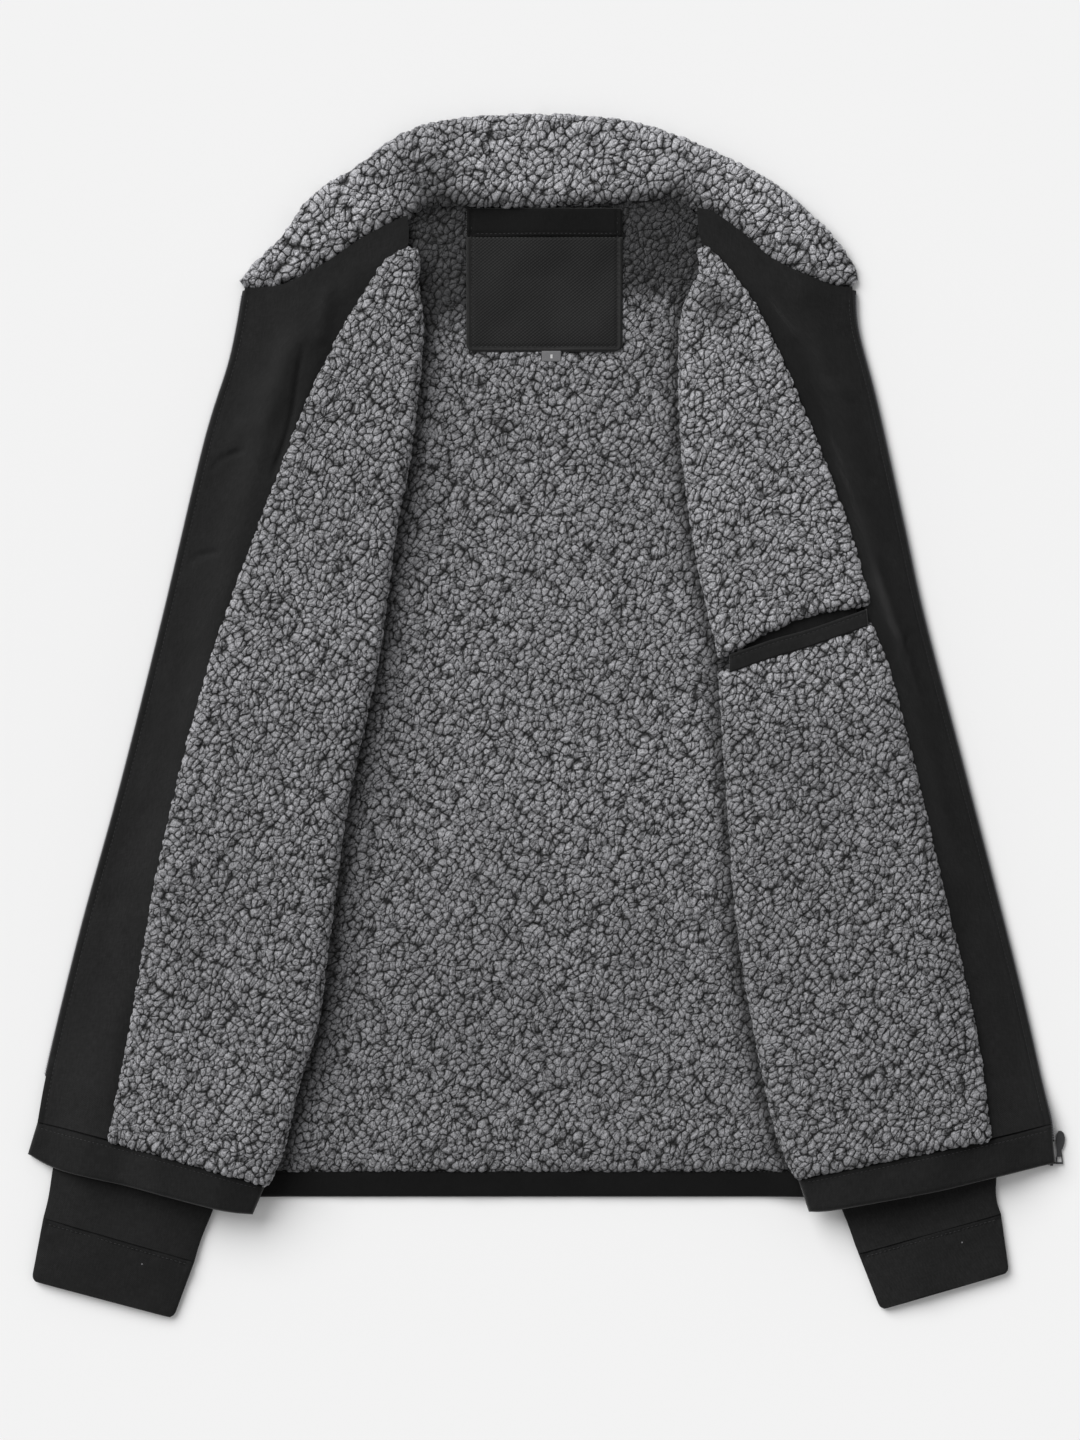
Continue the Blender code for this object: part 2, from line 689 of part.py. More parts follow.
def build_cuff(name, collection):
    """One cuff: a flattened tube with a bottom, open at the wrist."""
    table = CUFFS[name]
    (x0, y0, half0), (x1, y1, half1) = table
    outer_rings = []
    nx, ny = across(table, 0)
    for share in (0.0, 0.5, 1.0):
        x, y = x0 + (x1 - x0) * share, y0 + (y1 - y0) * share
        half = half0 + (half1 - half0) * share
        outer_rings.append(flat_tube_ring(x, y, nx, ny, half, 0.0, CUFF_HIGH))
    inner_rings = []
    for share in (1.0, 0.5, 0.12):
        x, y = x0 + (x1 - x0) * share, y0 + (y1 - y0) * share
        half = half0 + (half1 - half0) * share - CUFF_WALL
        inner_rings.append(
            flat_tube_ring(x, y, nx, ny, half, CUFF_WALL, CUFF_HIGH - CUFF_WALL))
    bm = bmesh.new()
    stations = [[bm.verts.new(p) for p in ring] for ring in outer_rings + inner_rings]
    for a, b in zip(stations, stations[1:]):
        for j in range(len(a)):
            k = (j + 1) % len(a)
            bm.faces.new((a[j], a[k], b[k], b[j]))
    bm.faces.new(stations[0])
    bm.faces.new(stations[-1])
    add_object(f"cuff_{name}", bm, "twill", collection)


def flat_tube_ring(x, y, nx, ny, half, low, high):
    """A flattened ring across a cuff, with round sides."""
    radius = (high - low) / 2
    ring = []
    for side in (1, -1):
        for step in range(5):
            angle = math.pi / 2 - math.pi * step / 4
            out = side * (half - radius + radius * math.cos(angle))
            ring.append((x + nx * out, y + ny * out, low + radius + side * radius * math.sin(angle)))
    return ring


# ---------------------------------------------------------------- patch, tab and zip


def plate(name, corners, low, high, round_corners, finish, collection):
    """A flat piece from its corner points, with some vertical edges rounded."""
    bm = bmesh.new()
    face = bm.faces.new([bm.verts.new((x, y, low)) for x, y in corners])
    grown = bmesh.ops.extrude_face_region(bm, geom=[face], use_keep_orig=True)
    tops = [v for v in grown["geom"] if isinstance(v, bmesh.types.BMVert)]
    bmesh.ops.translate(bm, vec=(0, 0, high - low), verts=tops)
    if round_corners:
        bm.edges.ensure_lookup_table()
        uprights = [e for e in bm.edges if abs(e.verts[0].co.z - e.verts[1].co.z) > 0.1
                    and (round(e.verts[0].co.x, 3), round(e.verts[0].co.y, 3)) in round_corners]
        bmesh.ops.bevel(bm, geom=uprights, offset=PATCH_CORNER, segments=3, profile=0.5,
                        affect="EDGES", material=-1)
    return add_object(name, bm, finish, collection)


def build_patch(collection):
    """The hanger patch's band and mesh panel, and the size tab, on the back lining."""
    low = BACK_HIGH + PATCH_LIFT
    half = PATCH_HALF
    plate("patch_band", [(-half, PATCH_CROSS + SEAM_GAP), (half, PATCH_CROSS + SEAM_GAP),
                         (half, PATCH_TOP - 1), (-half, PATCH_TOP - 1)],
          low, low + TWILL, (), "twill", collection)
    foot = {(round(-half, 3), round(PATCH_FOOT, 3)), (round(half, 3), round(PATCH_FOOT, 3))}
    plate("hanger_patch", [(-half, PATCH_FOOT), (half, PATCH_FOOT), (half, PATCH_CROSS),
                           (-half, PATCH_CROSS)],
          low, low + TWILL, foot, "mesh", collection)
    x0 = TAB["x"] - TAB["wide"] / 2
    x1 = TAB["x"] + TAB["wide"] / 2
    top = PATCH_FOOT - SEAM_GAP
    plate("size_tab", [(x0, top - TAB["deep"]), (x1, top - TAB["deep"]), (x1, top), (x0, top)],
          low, low + TAB["thick"], (), "tab", collection)


def build_tape(name, collection):
    """One half of the zip's tape, between the facing and the shell, its teeth's side just out."""
    side = SIDES[name]
    count = 20
    edge = line_through(side["edge"], count)
    fold = line_through(side["fold"], count)
    inner = inset(edge, fold, TAPE_IN)
    outer = [mix(p, q, -TAPE_OUT / TAPE_IN) for p, q in zip(edge, inner)]
    rows = patch_between(outer, inner, (0, 0.5, 1))[1:round(count * TAPE_FOOT_SHARE)]
    under_gap = (TAPE_ROOM - TAPE_THICK) / 2
    rings = wall_rings(
        rows, lambda x, y, v, row: shell_top(side, x, y) + under_gap + TAPE_THICK,
        lambda x, y, v, row: shell_top(side, x, y) + under_gap)
    loft(f"zip_tape_{name}", rings, "tape", collection)


def add_boolean(piece, other, operation):
    """Adds a live Boolean of another object to a piece."""
    change = piece.modifiers.new(operation.lower(), "BOOLEAN")
    change.operation = operation
    change.solver = "EXACT"
    change.object = other


def build_slider(collection, cutters):
    """The slider under the right front's corner, with the eye that its pull hangs in."""
    bm = bmesh.new()
    bmesh.ops.create_cube(bm, size=1.0)
    bmesh.ops.scale(bm, vec=(SLIDER["wide"], SLIDER["long"], SLIDER["high"]), verts=bm.verts)
    bmesh.ops.translate(
        bm, vec=(SLIDER["x"], SLIDER["y"], SLIDER["z"] + SLIDER["high"] / 2), verts=bm.verts)
    bmesh.ops.bevel(bm, geom=bm.edges, offset=0.8, segments=2, profile=0.5, affect="EDGES",
                    material=-1)
    body = add_object("zip_slider", bm, "metal", collection)

    bm = bmesh.new()
    bmesh.ops.create_cube(bm, size=1.0)
    reach = SLIDER["y"] - SLIDER["long"] / 2 - EYE_Y
    long = reach + EYE["outer"] + 1.6
    bmesh.ops.scale(bm, vec=(EYE["thick"], long, EYE["outer"] * 2 - 0.6), verts=bm.verts)
    bmesh.ops.translate(
        bm, vec=(EYE["x"], EYE_Y - EYE["outer"] + long / 2, EYE["z"]), verts=bm.verts)
    lug = add_object("slider_lug", bm, "metal", cutters)
    hide_helper(lug)
    hole = cross_rod("slider_hole", EYE["inner"], EYE["x"] - 4, EYE["x"] + 4, cutters)
    add_boolean(body, lug, "UNION")
    add_boolean(body, hole, "DIFFERENCE")


def cross_rod(name, radius, start, stop, collection):
    """A round rod along X on the pull's axis, as a helper for Booleans."""
    bm = bmesh.new()
    bmesh.ops.create_cone(bm, cap_ends=True, segments=20, radius1=radius, radius2=radius,
                          depth=stop - start)
    for vert in bm.verts:
        x, y, z = vert.co
        vert.co = ((start + stop) / 2 + z, EYE_Y + y, EYE["z"] - x)
    made = add_object(name, bm, "metal", collection)
    hide_helper(made)
    return made


def hide_helper(helper):
    """Keeps a Boolean's helper out of the picture."""
    helper.hide_render = True
    helper.display_type = "WIRE"


def build_pull(collection, cutters):
    """The pull: an egg-shaped tab and a wire loop in one plate, and the bar that it turns on."""
    plan = [(356.4, -0.7), (356.4, 3.6), (356.9, 5.4), (356.9, 9.2), (356.5, 12.0), (356.2, 15.5),
            (356.8, 20.0), (358.2, 22.4), (360.0, 22.6), (361.8, 21.2), (362.8, 18.0),
            (362.4, 13.6), (361.1, 9.9), (360.4, 9.2), (361.0, 4.0), (361.5, -0.7)]
    window = [(357.2, 0.7), (360.5, 0.7), (360.2, 4.4), (357.5, 4.4)]
    data = bpy.data.curves.new("pull_plan", "CURVE")
    data.dimensions = "2D"
    data.fill_mode = "BOTH"
    data.extrude = PULL_THICK / 2 * MM
    for outline in (plan, window):
        spline = data.splines.new("POLY")
        spline.points.add(len(outline) - 1)
        for point, (x, y) in zip(spline.points, outline):
            point.co = (x * MM, (EYE_Y + y) * MM, 0, 1)
        spline.use_cyclic_u = True
    outline_object = bpy.data.objects.new("pull_outline", data)
    cutters.objects.link(outline_object)
    outline_object.location.z = EYE["z"] * MM
    bpy.context.view_layer.update()
    graph = bpy.context.evaluated_depsgraph_get()
    mesh = bpy.data.meshes.new_from_object(outline_object.evaluated_get(graph))
    bm = bmesh.new()
    bm.from_mesh(mesh)
    bmesh.ops.translate(bm, vec=(0, 0, EYE["z"] * MM), verts=bm.verts)
    bmesh.ops.remove_doubles(bm, verts=bm.verts, dist=1e-6)
    bpy.data.objects.remove(outline_object)
    bpy.data.meshes.remove(mesh)
    pull = add_object("zip_pull", bm, "metal", collection, to_metres=False)
    bar = cross_rod("pull_bar", BAR_RADIUS, *BAR_ENDS, cutters)
    head = cross_rod("pull_bar_head", EYE["inner"] + 0.35, BAR_ENDS[0] - 0.3, BAR_ENDS[0] + 0.6,
                     cutters)
    add_boolean(pull, bar, "UNION")
    add_boolean(pull, head, "UNION")


# ---------------------------------------------------------------- the jacket


def main():
    """Builds the jacket, piece by piece, from the surface up."""
    for leftover in list(bpy.data.objects):
        bpy.data.objects.remove(leftover)
    scene = bpy.context.scene.collection
    jacket = bpy.data.collections.new("sherpa_lined_jacket")
    cutters = bpy.data.collections.new("cutters")
    scene.children.link(jacket)
    scene.children.link(cutters)
    build_back(jacket)
    build_collar(jacket)
    build_patch(jacket)
    for name in SIDES:
        build_sleeve(name, jacket)
        build_front(name, jacket)
        build_hem(name, jacket)
        build_tape(name, jacket)
    build_pocket(jacket)
    build_slider(jacket, cutters)
    build_pull(jacket, cutters)


main()
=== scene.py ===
"""The looks of a sherpa lined jacket, laid open on its back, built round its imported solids.

Sizes and places are in millimetres in the frame of the solids, and MM turns them into metres
when a mesh is written. X runs across the jacket, Y from its hem to its collar, Z up.
"""

import logging
import math
from collections.abc import Callable
from dataclasses import dataclass
from enum import Enum

import bmesh
import bpy
import numpy as np
from mathutils import Matrix, Vector


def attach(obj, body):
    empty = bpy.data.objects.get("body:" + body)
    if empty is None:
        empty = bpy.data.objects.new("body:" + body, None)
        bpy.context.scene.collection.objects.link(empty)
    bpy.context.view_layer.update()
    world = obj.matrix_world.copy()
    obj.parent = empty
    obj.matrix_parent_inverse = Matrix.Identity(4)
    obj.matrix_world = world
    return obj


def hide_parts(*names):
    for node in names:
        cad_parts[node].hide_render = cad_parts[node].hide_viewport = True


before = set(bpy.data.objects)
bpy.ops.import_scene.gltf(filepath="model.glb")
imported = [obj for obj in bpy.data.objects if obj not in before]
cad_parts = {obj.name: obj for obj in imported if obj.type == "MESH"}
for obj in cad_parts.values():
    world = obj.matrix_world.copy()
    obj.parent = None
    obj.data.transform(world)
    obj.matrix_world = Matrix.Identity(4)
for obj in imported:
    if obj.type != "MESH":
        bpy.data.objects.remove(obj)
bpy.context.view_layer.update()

log = logging.getLogger("jacket")

Array = np.ndarray
Points = list[tuple[float, float]]

MM = 0.001
TURN = 2 * math.pi

# Cloth thicknesses and the clear gaps between layers
TWILL = 1.6
SHERPA = 5.2
SEAM_GAP = 0.3
LAYER_GAP = 1.0
TAPE_ROOM = 1.8
LINING_LIFT = TAPE_ROOM + TWILL + 1.7

# Heights of the stack, and how softly each layer comes down
SLEEVE_HIGH = 8.0
BACK_HIGH = TWILL + SEAM_GAP + SHERPA
FRONT_PLY = 2.0
FRONT_LOFT = 6.0
EDGE_CLEAR = 0.6
INNER_RAMP = 55.0
SIDE_MARGIN = 14.0
SIDE_FADE = 32.0
EDGE_RAMP = 42.0
NECK_RAMP = 60.0
CORNER_LIFT = 4.6

# The least height of anything above the surface
CLEAR = 0.15

# The pile: how far its roots lie under the lining's face, and how high its curls stand
PILE_SINK = 1.7
PILE_HIGH = 3.1

# The most that the radius of a fold takes of the width before it
FOLD_SHARE = 0.42


class Body(Enum):
    """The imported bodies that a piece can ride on."""

    JACKET = "jacket"
    PULL = "pull"


class Hand(Enum):
    """The two sides of the jacket, by the sign of X."""

    LEFT = -1
    RIGHT = 1

    @property
    def word(self) -> str:
        """The side's word in node names."""
        return self.name.lower()


class Form(Enum):
    """What a skin's grid makes: an open sheet, a tube with a seam, or a closed pillow."""

    SHEET = 1
    TUBE = 2
    PILLOW = 3


# ---------------------------------------------------------------- numbers over arrays


def soft_step(t: Array | float) -> Array:
    """A soft step from 0 to 1 over t from 0 to 1."""
    t = np.clip(t, 0.0, 1.0)
    return t * t * (3 - 2 * t)


def scatter(i: Array, j: Array, k: float) -> Array:
    """Even random numbers from 0 to 1, one for each whole pair i, j, the same each run.

    Args:
        i: Whole numbers, as floats.
        j: Whole numbers, as floats.
        k: Which series of numbers.

    Returns:
        The numbers, in the shape of i.
    """
    raw = np.sin(i * 127.1 + j * 311.7 + k * 74.7) * 43758.5453
    return raw - np.floor(raw)


def drift(x: Array, y: Array, size: float, series: float) -> Array:
    """A smooth random field from -1 to 1.

    Args:
        x: Places across.
        y: Places along.
        size: Width of its swells.
        series: Which field.

    Returns:
        The field's values.
    """
    gx, gy = x / size, y / size
    ix, iy = np.floor(gx), np.floor(gy)
    fx, fy = soft_step(gx - ix), soft_step(gy - iy)
    low = scatter(ix, iy, series) * (1 - fx) + scatter(ix + 1, iy, series) * fx
    high = scatter(ix, iy + 1, series) * (1 - fx) + scatter(ix + 1, iy + 1, series) * fx
    return (low * (1 - fy) + high * fy) * 2 - 1


class Line:
    """A smooth curve through plan points, read by its share of the whole length."""

    STEPS = 16

    def __init__(self, points: Points) -> None:
        """Lays the curve.

        Args:
            points: The plan points that it goes through.
        """
        p = np.array(points, float)
        padded = np.vstack([p[:1], p, p[-1:]])
        t = np.linspace(0, 1, self.STEPS, endpoint=False)[:, None]
        spans = [
            0.5 * (2 * b + (c - a) * t + (2 * a - 5 * b + 4 * c - d) * t**2
                   + (3 * b - a - 3 * c + d) * t**3)
            for a, b, c, d in zip(padded[:-3], padded[1:-2], padded[2:-1], padded[3:])
        ]
        self.fine = np.vstack([*spans, p[-1:]])
        steps = np.linalg.norm(np.diff(self.fine, axis=0), axis=1)
        self.run = np.concatenate([[0.0], np.cumsum(steps)])

    @property
    def length(self) -> float:
        """Length of the curve."""
        return float(self.run[-1])

    def at(self, shares: Array | float) -> Array:
        """The points at these shares of the length, in a last axis of two."""
        goal = np.clip(shares, 0, 1) * self.length
        return np.stack([np.interp(goal, self.run, self.fine[:, k]) for k in (0, 1)], -1)

    def away(self, x: Array, y: Array, parts: int = 40) -> Array:
        """Distance from the curve.

        Args:
            x: Places across.
            y: Places along.
            parts: Straight parts that stand for the curve.

        Returns:
            The distances.
        """
        coarse = self.at(np.linspace(0, 1, parts + 1))
        nearest = np.full(np.shape(x), np.inf)
        for (ax, ay), (bx, by) in zip(coarse, coarse[1:]):
            dx, dy = bx - ax, by - ay
            along = np.clip(((x - ax) * dx + (y - ay) * dy) / (dx * dx + dy * dy), 0, 1)
            nearest = np.minimum(nearest, np.hypot(x - ax - dx * along, y - ay - dy * along))
        return nearest


def patch(first: Line, second: Line, u: Array, v: Array, head: Line | None = None,
          foot: Line | None = None) -> Array:
    """Plan points between two curves, the rows near head and foot bent with them.

    Args:
        first: The curve at u = 0.
        second: The curve at u = 1.
        u: Shares across, for each point.
        v: Shares along, for each point.
        head: The curve that the row at v = 0 follows.
        foot: The curve that the row at v = 1 follows.

    Returns:
        The points, in a last axis of two.
    """
    wide = u[..., None]
    points = first.at(v) * (1 - wide) + second.at(v) * wide
    for end, curve, weight in ((0.0, head, (1 - v) ** 2), (1.0, foot, v**2)):
        if curve is not None:
            chord = first.at(end) * (1 - wide) + second.at(end) * wide
            points = points + (curve.at(u) - chord) * weight[..., None]
    return points


def shares(rows: int, columns: int, across: tuple[float, float] = (0, 1),
           along: tuple[float, float] = (0, 1)) -> tuple[Array, Array]:
    """Even shares over a grid.

    Args:
        rows: Its rows.
        columns: Its columns.
        across: The first and last share across.
        along: The first and last share along.

    Returns:
        The shares across and along, each rows by columns.
    """
    u = np.linspace(*across, columns)[None, :] + np.zeros((rows, 1))
    v = np.linspace(*along, rows)[:, None] + np.zeros((1, columns))
    return u, v


@dataclass(frozen=True)
class Crease:
    """A soft fold in cloth, along a straight stretch, fading at both ends."""

    start: tuple[float, float]
    stop: tuple[float, float]
    wide: float
    high: float

    def lift(self, x: Array, y: Array) -> Array:
        """Height that it adds, below 0 for a trough."""
        (ax, ay), (bx, by) = self.start, self.stop
        dx, dy = bx - ax, by - ay
        long = math.hypot(dx, dy)
        along = ((x - ax) * dx + (y - ay) * dy) / long**2
        aside = ((x - ax) * -dy + (y - ay) * dx) / long
        bend = aside + 2.0 * np.sin(along * 5 + ax)
        ends = soft_step(along * 4 + 0.5) * soft_step((1 - along) * 4 + 0.5)
        return self.high * np.exp(-((bend / self.wide) ** 2)) * ends


# ---------------------------------------------------------------- how the layers lie

SLEEVES = {
    Hand.LEFT: [(-152, 292, 16), (-154, 276, 34), (-157, 223, 46), (-170, 139, 55), (-197, 13, 62),
                (-243, -162, 64), (-289, -328, 58), (-298.7, -362, 55)],
    Hand.RIGHT: [(152, 292, 16), (154, 276, 34), (157, 223, 46), (169, 139, 55), (190, 13, 62),
                 (229, -162, 64), (260, -329, 56), (267.8, -358, 52.5)],
}
BACK = [(358, 94), (335, 128), (300, 160), (250, 172), (180, 182), (100, 202), (0, 225),
        (-100, 244), (-200, 252), (-313, 255)]
BACK_HEM_DEPTH = 21.6
NECK = [(-211, 301), (-182, 304), (-152, 320), (-127, 337), (-97, 352), (-76, 360), (0, 359),
        (62, 364), (88, 365), (105, 357), (118, 353), (140, 337), (160, 320), (198, 304),
        (214, 302)]
COLLAR = [(-214, 305), (-198, 321), (-183, 336), (-163, 363), (-131, 384), (-92, 410), (-40, 418.6),
          (25, 418.6), (79, 409), (146, 379), (187, 347), (212, 318), (217, 306)]


def read_table(table: list[tuple], y: Array, key: int, column: int) -> Array:
    """A column of a table at y, straight between rows that run down the jacket.

    Args:
        table: The rows, from the neck down.
        y: Places along the jacket.
        key: The column that holds y.
        column: The column that is read.

    Returns:
        The values.
    """
    rows = np.array(table, float)[::-1]
    return np.interp(y, rows[:, key], rows[:, column])


def sleeve_rise(x: Array, y: Array) -> Array:
    """Height that the sleeves under the body give to what lies over them."""
    inner = np.where(
        x < 0,
        np.abs(read_table(SLEEVES[Hand.LEFT], y, 1, 0)) - read_table(SLEEVES[Hand.LEFT], y, 1, 2),
        np.abs(read_table(SLEEVES[Hand.RIGHT], y, 1, 0)) - read_table(SLEEVES[Hand.RIGHT], y, 1, 2),
    )
    across = soft_step((np.abs(x) - inner + INNER_RAMP) / INNER_RAMP)
    return (SLEEVE_HIGH + LAYER_GAP) * across * soft_step((340 - y) / 60)


def back_half(y: Array) -> Array:
    """Half of the back panel's width."""
    return read_table(BACK, y, 0, 1)


def back_top(x: Array, y: Array) -> Array:
    """Top of the back lining, and past the side seam down to what lies there."""
    fade = soft_step((back_half(y) + SIDE_MARGIN + SIDE_FADE - np.abs(x)) / SIDE_FADE)
    return sleeve_rise(x, y) + BACK_HIGH * fade


# ---------------------------------------------------------------- pile and skins


@dataclass(frozen=True)
class Pile:
    """Curled pile: uneven curls in clumps, the same on a mesh as in its finish."""

    curl: float = 5.0
    clump: float = 17.0
    high: float = PILE_HIGH

    def height(self, graph: "Graph", cloth: bpy.types.NodeSocket) -> tuple["Value", "Value"]:
        """The nodes of the pile's height.

        Args:
            graph: The graph that they are added to.
            cloth: The place on the unrolled cloth, in metres.

        Returns:
            The height, from about 0 between curls to 1 on their tops, and each curl's own number.
        """
        curls = 1000 / self.curl
        cloth = graph.stretched(cloth, (1.14, 0.88, 1.0), 0.65)
        bent = graph.bent(cloth, curls * 0.3, self.curl * 0.9 * MM)
        bent = graph.bent(bent, curls * 1.3, self.curl * 0.3 * MM)
        bent = graph.bent(bent, curls * 4, self.curl * 0.09 * MM)
        near, own = graph.cells(bent, curls, "F1")
        further, _ = graph.cells(bent, curls, "F2")
        clump_near, _ = graph.cells(bent, 1000 / self.clump, "F1")
        clump_further, _ = graph.cells(bent, 1000 / self.clump, "F2")
        knot, _ = graph.cells(bent, curls * 2.6, "F1")
        vary = graph.noise(cloth, curls * 0.5, 1)
        crack = ((further - near) / (vary * 0.5)).least(1.0)
        tilted = graph.tilted(bent)
        fold = (abs(graph.noise(tilted, curls * 0.6, 1) - 0.5) * 12).least(1.0)
        dome = 1 - near * near * 1.25
        clumps = graph.ease(clump_further - clump_near, 0.0, 0.24)
        body = dome * 0.4 + crack * (2 - crack) * 0.4 + fold * (2 - fold) * 0.26 - knot * 0.16
        return body * (own * 0.16 + 0.84) * (clumps * 0.3 + 0.7), own


def mesh_of(bm: bmesh.types.BMesh, name: str) -> bpy.types.Mesh:
    """Writes a bmesh as a mesh of this name, and frees it."""
    mesh = bpy.data.meshes.new(name)
    bm.to_mesh(mesh)
    bm.free()
    return mesh


def add_object(mesh: bpy.types.Mesh, material: bpy.types.Material | None) -> bpy.types.Object:
    """Puts a mesh in the scene, in its finish if it has one yet."""
    if material:
        mesh.materials.append(material)
    made = bpy.data.objects.new(mesh.name, mesh)
    bpy.context.scene.collection.objects.link(made)
    return made


def outward(points: Array, facing: float = 1.0) -> Array:
    """Unit normals of a grid of points.

    Args:
        points: The grid, rows by columns by three.
        facing: 1 or -1, the side that is out.

    Returns:
        A normal for each point.
    """
    across = np.gradient(points, axis=1)
    along = np.gradient(points, axis=0)
    normal = np.cross(across, along) * facing
    return normal / np.maximum(np.linalg.norm(normal, axis=-1, keepdims=True), 1e-9)


def side_out(points: Array, form: Form) -> float:
    """1 where a grid's own faces already point outwards, or -1 where they must be turned.

    Args:
        points: The grid of points.
        form: What the grid makes.

    Returns:
        1 or -1.
    """
    normal = np.cross(np.gradient(points, axis=1), np.gradient(points, axis=0))
    if form is not Form.SHEET:
        middle = points.reshape(-1, 3).mean(axis=0)
        return 1.0 if float(((points - middle) * normal).sum()) > 0 else -1.0
    upper = normal[:, : points.shape[1] // 2, 2]
    return 1.0 if float(upper.sum()) > 0 else -1.0


def grid_area(points: Array) -> float:
    """Area of a grid of points, in square metres."""
    normal = np.cross(np.diff(points, axis=1)[:-1], np.diff(points, axis=0)[:, :-1])
    return float(np.linalg.norm(normal, axis=-1).sum()) * MM * MM


class Skin:
    """A cloth surface made from one grid, and written as a mesh."""

    def __init__(self, name: str, points: Array, spread: Array, form: Form = Form.SHEET) -> None:
        """Holds the grid.

        Args:
            name: The piece's name.
            points: Its points, rows by columns by three.
            spread: Their places on the cloth as it lies unrolled, rows by columns by two.
            form: What the grid makes.
        """
        self.name = name
        self.points = points
        self.spread = spread
        self.form = form
        self.out = side_out(points, form)
        self.area = grid_area(points) / (2 if form is Form.PILLOW else 1)
        self.values: dict[str, Array] = {}

    def raise_pile(self, pile: Pile, share: Array | float = 1.0) -> None:
        """Stands the pile on the skin.

        Args:
            pile: The pile.
            share: How much of its height stands, over the grid.
        """
        high = self.read_heights(pile)
        normal = outward(self.points, self.out)
        lean = drift(self.spread[..., 0], self.spread[..., 1], 5.0, 31)[..., None]
        side = np.cross(normal, np.array([0.6, 0.8, 0.0]))
        self.points = self.points + normal * (high * share * pile.high)[..., None]
        self.points = self.points + side * lean * 0.35

    def read_heights(self, pile: Pile) -> Array:
        """The pile's heights at the grid's points, through the nodes that its finish uses.

        Args:
            pile: The pile.

        Returns:
            The heights, rows by columns.
        """
        made = self.build(None)
        tree = bpy.data.node_groups.new("pile_heights", "GeometryNodeTree")
        for way in ("INPUT", "OUTPUT"):
            tree.interface.new_socket("Geometry", in_out=way, socket_type="NodeSocketGeometry")
        graph = Graph(tree)
        start = graph.node("NodeGroupInput")
        cloth = graph.node("GeometryNodeInputNamedAttribute", {"data_type": "FLOAT_VECTOR"},
                           {"Name": "Cloth"})
        height, _ = pile.height(graph, cloth.outputs["Attribute"])
        store = graph.node("GeometryNodeStoreNamedAttribute",
                           {"data_type": "FLOAT", "domain": "POINT"},
                           {"Geometry": start.outputs["Geometry"], "Name": "pile", "Value": height})
        graph.node("NodeGroupOutput", None, {"Geometry": store.outputs["Geometry"]})
        made.modifiers.new("heights", "NODES").node_group = tree
        found = made.evaluated_get(bpy.context.evaluated_depsgraph_get()).data
        heights = np.empty(len(found.vertices), np.float32)
        found.attributes["pile"].data.foreach_get("value", heights)
        mesh = made.data
        bpy.data.objects.remove(made)
        bpy.data.meshes.remove(mesh)
        bpy.data.node_groups.remove(tree)
        return heights.reshape(self.points.shape[:2]).astype(float)

    def build(self, material: bpy.types.Material | None) -> bpy.types.Object:
        """Writes the skin as a mesh object.

        Args:
            material: Its finish, if it has one yet.

        Returns:
            The object, with its place in its mesh.
        """
        rows, columns, _ = self.points.shape
        self.points[..., 2] = np.maximum(self.points[..., 2], CLEAR)
        bm = bmesh.new()
        bmesh.ops.create_grid(bm, x_segments=columns - 1, y_segments=rows - 1, size=1)
        if self.out < 0:
            bmesh.ops.reverse_faces(bm, faces=bm.faces)
        mesh = mesh_of(bm, self.name)
        mesh.vertices.foreach_set("co", (self.points * MM).astype(np.float32).ravel())
        corner = np.empty(len(mesh.loops), np.int32)
        mesh.loops.foreach_get("vertex_index", corner)
        layer = mesh.uv_layers.new(name="Cloth")
        spread = (self.spread.reshape(-1, 2)[corner] * MM).astype(np.float32)
        layer.data.foreach_set("uv", spread.ravel())
        for key, value in self.values.items():
            kept = mesh.attributes.new(key, "FLOAT", "POINT")
            kept.data.foreach_set("value", value.astype(np.float32).ravel())
        if self.form is Form.PILLOW:
            self.close(mesh)
        mesh.shade_smooth()
        return add_object(mesh, material)

    @staticmethod
    def close(mesh: bpy.types.Mesh) -> None:
        """Joins the points of a closed skin that lie on each other."""
        bm = bmesh.new()
        bm.from_mesh(mesh)
        bmesh.ops.remove_doubles(bm, verts=bm.verts, dist=1e-6)
        bm.to_mesh(mesh)
        bm.free()


def rolled(length: float, radius: float, spacing: float, ends: tuple[bool, bool] = (True, True),
           turns: int = 5) -> tuple[Array, Array, Array]:
    """Stations along a cloth whose ends roll down by a quarter turn.

    Args:
        length: Length of the cloth, as it lies.
        radius: Radius of each rolled end.
        spacing: Distance between stations.
        ends: Whether the first and the last end roll.
        turns: Stations on each quarter turn.

    Returns:
        Places from 0 to length, how far round each stands, from 0 at an end to 1 on the flat, and
        the places on the cloth as if it were unrolled.
    """
    angle = np.linspace(0, math.pi / 2, turns, endpoint=False)
    head = radius * (1 - np.cos(angle)) if ends[0] else np.zeros(0)
    tail = (length - radius * (1 - np.cos(angle)))[::-1] if ends[1] else np.zeros(0)
    start = radius if ends[0] else 0.0
    stop = length - (radius if ends[1] else 0.0)
    middle = np.linspace(start, stop, max(int((stop - start) / spacing), 2) + 1)
    up = np.concatenate([np.sin(angle)[: len(head)], np.ones(len(middle)),
                         np.sin(angle)[::-1][: len(tail)]])
    extra = radius * (math.pi / 2 - angle - np.cos(angle))
    flat = np.concatenate([head - extra[: len(head)], middle, tail + extra[::-1][: len(tail)]])
    return np.concatenate([head, middle, tail]), up, flat


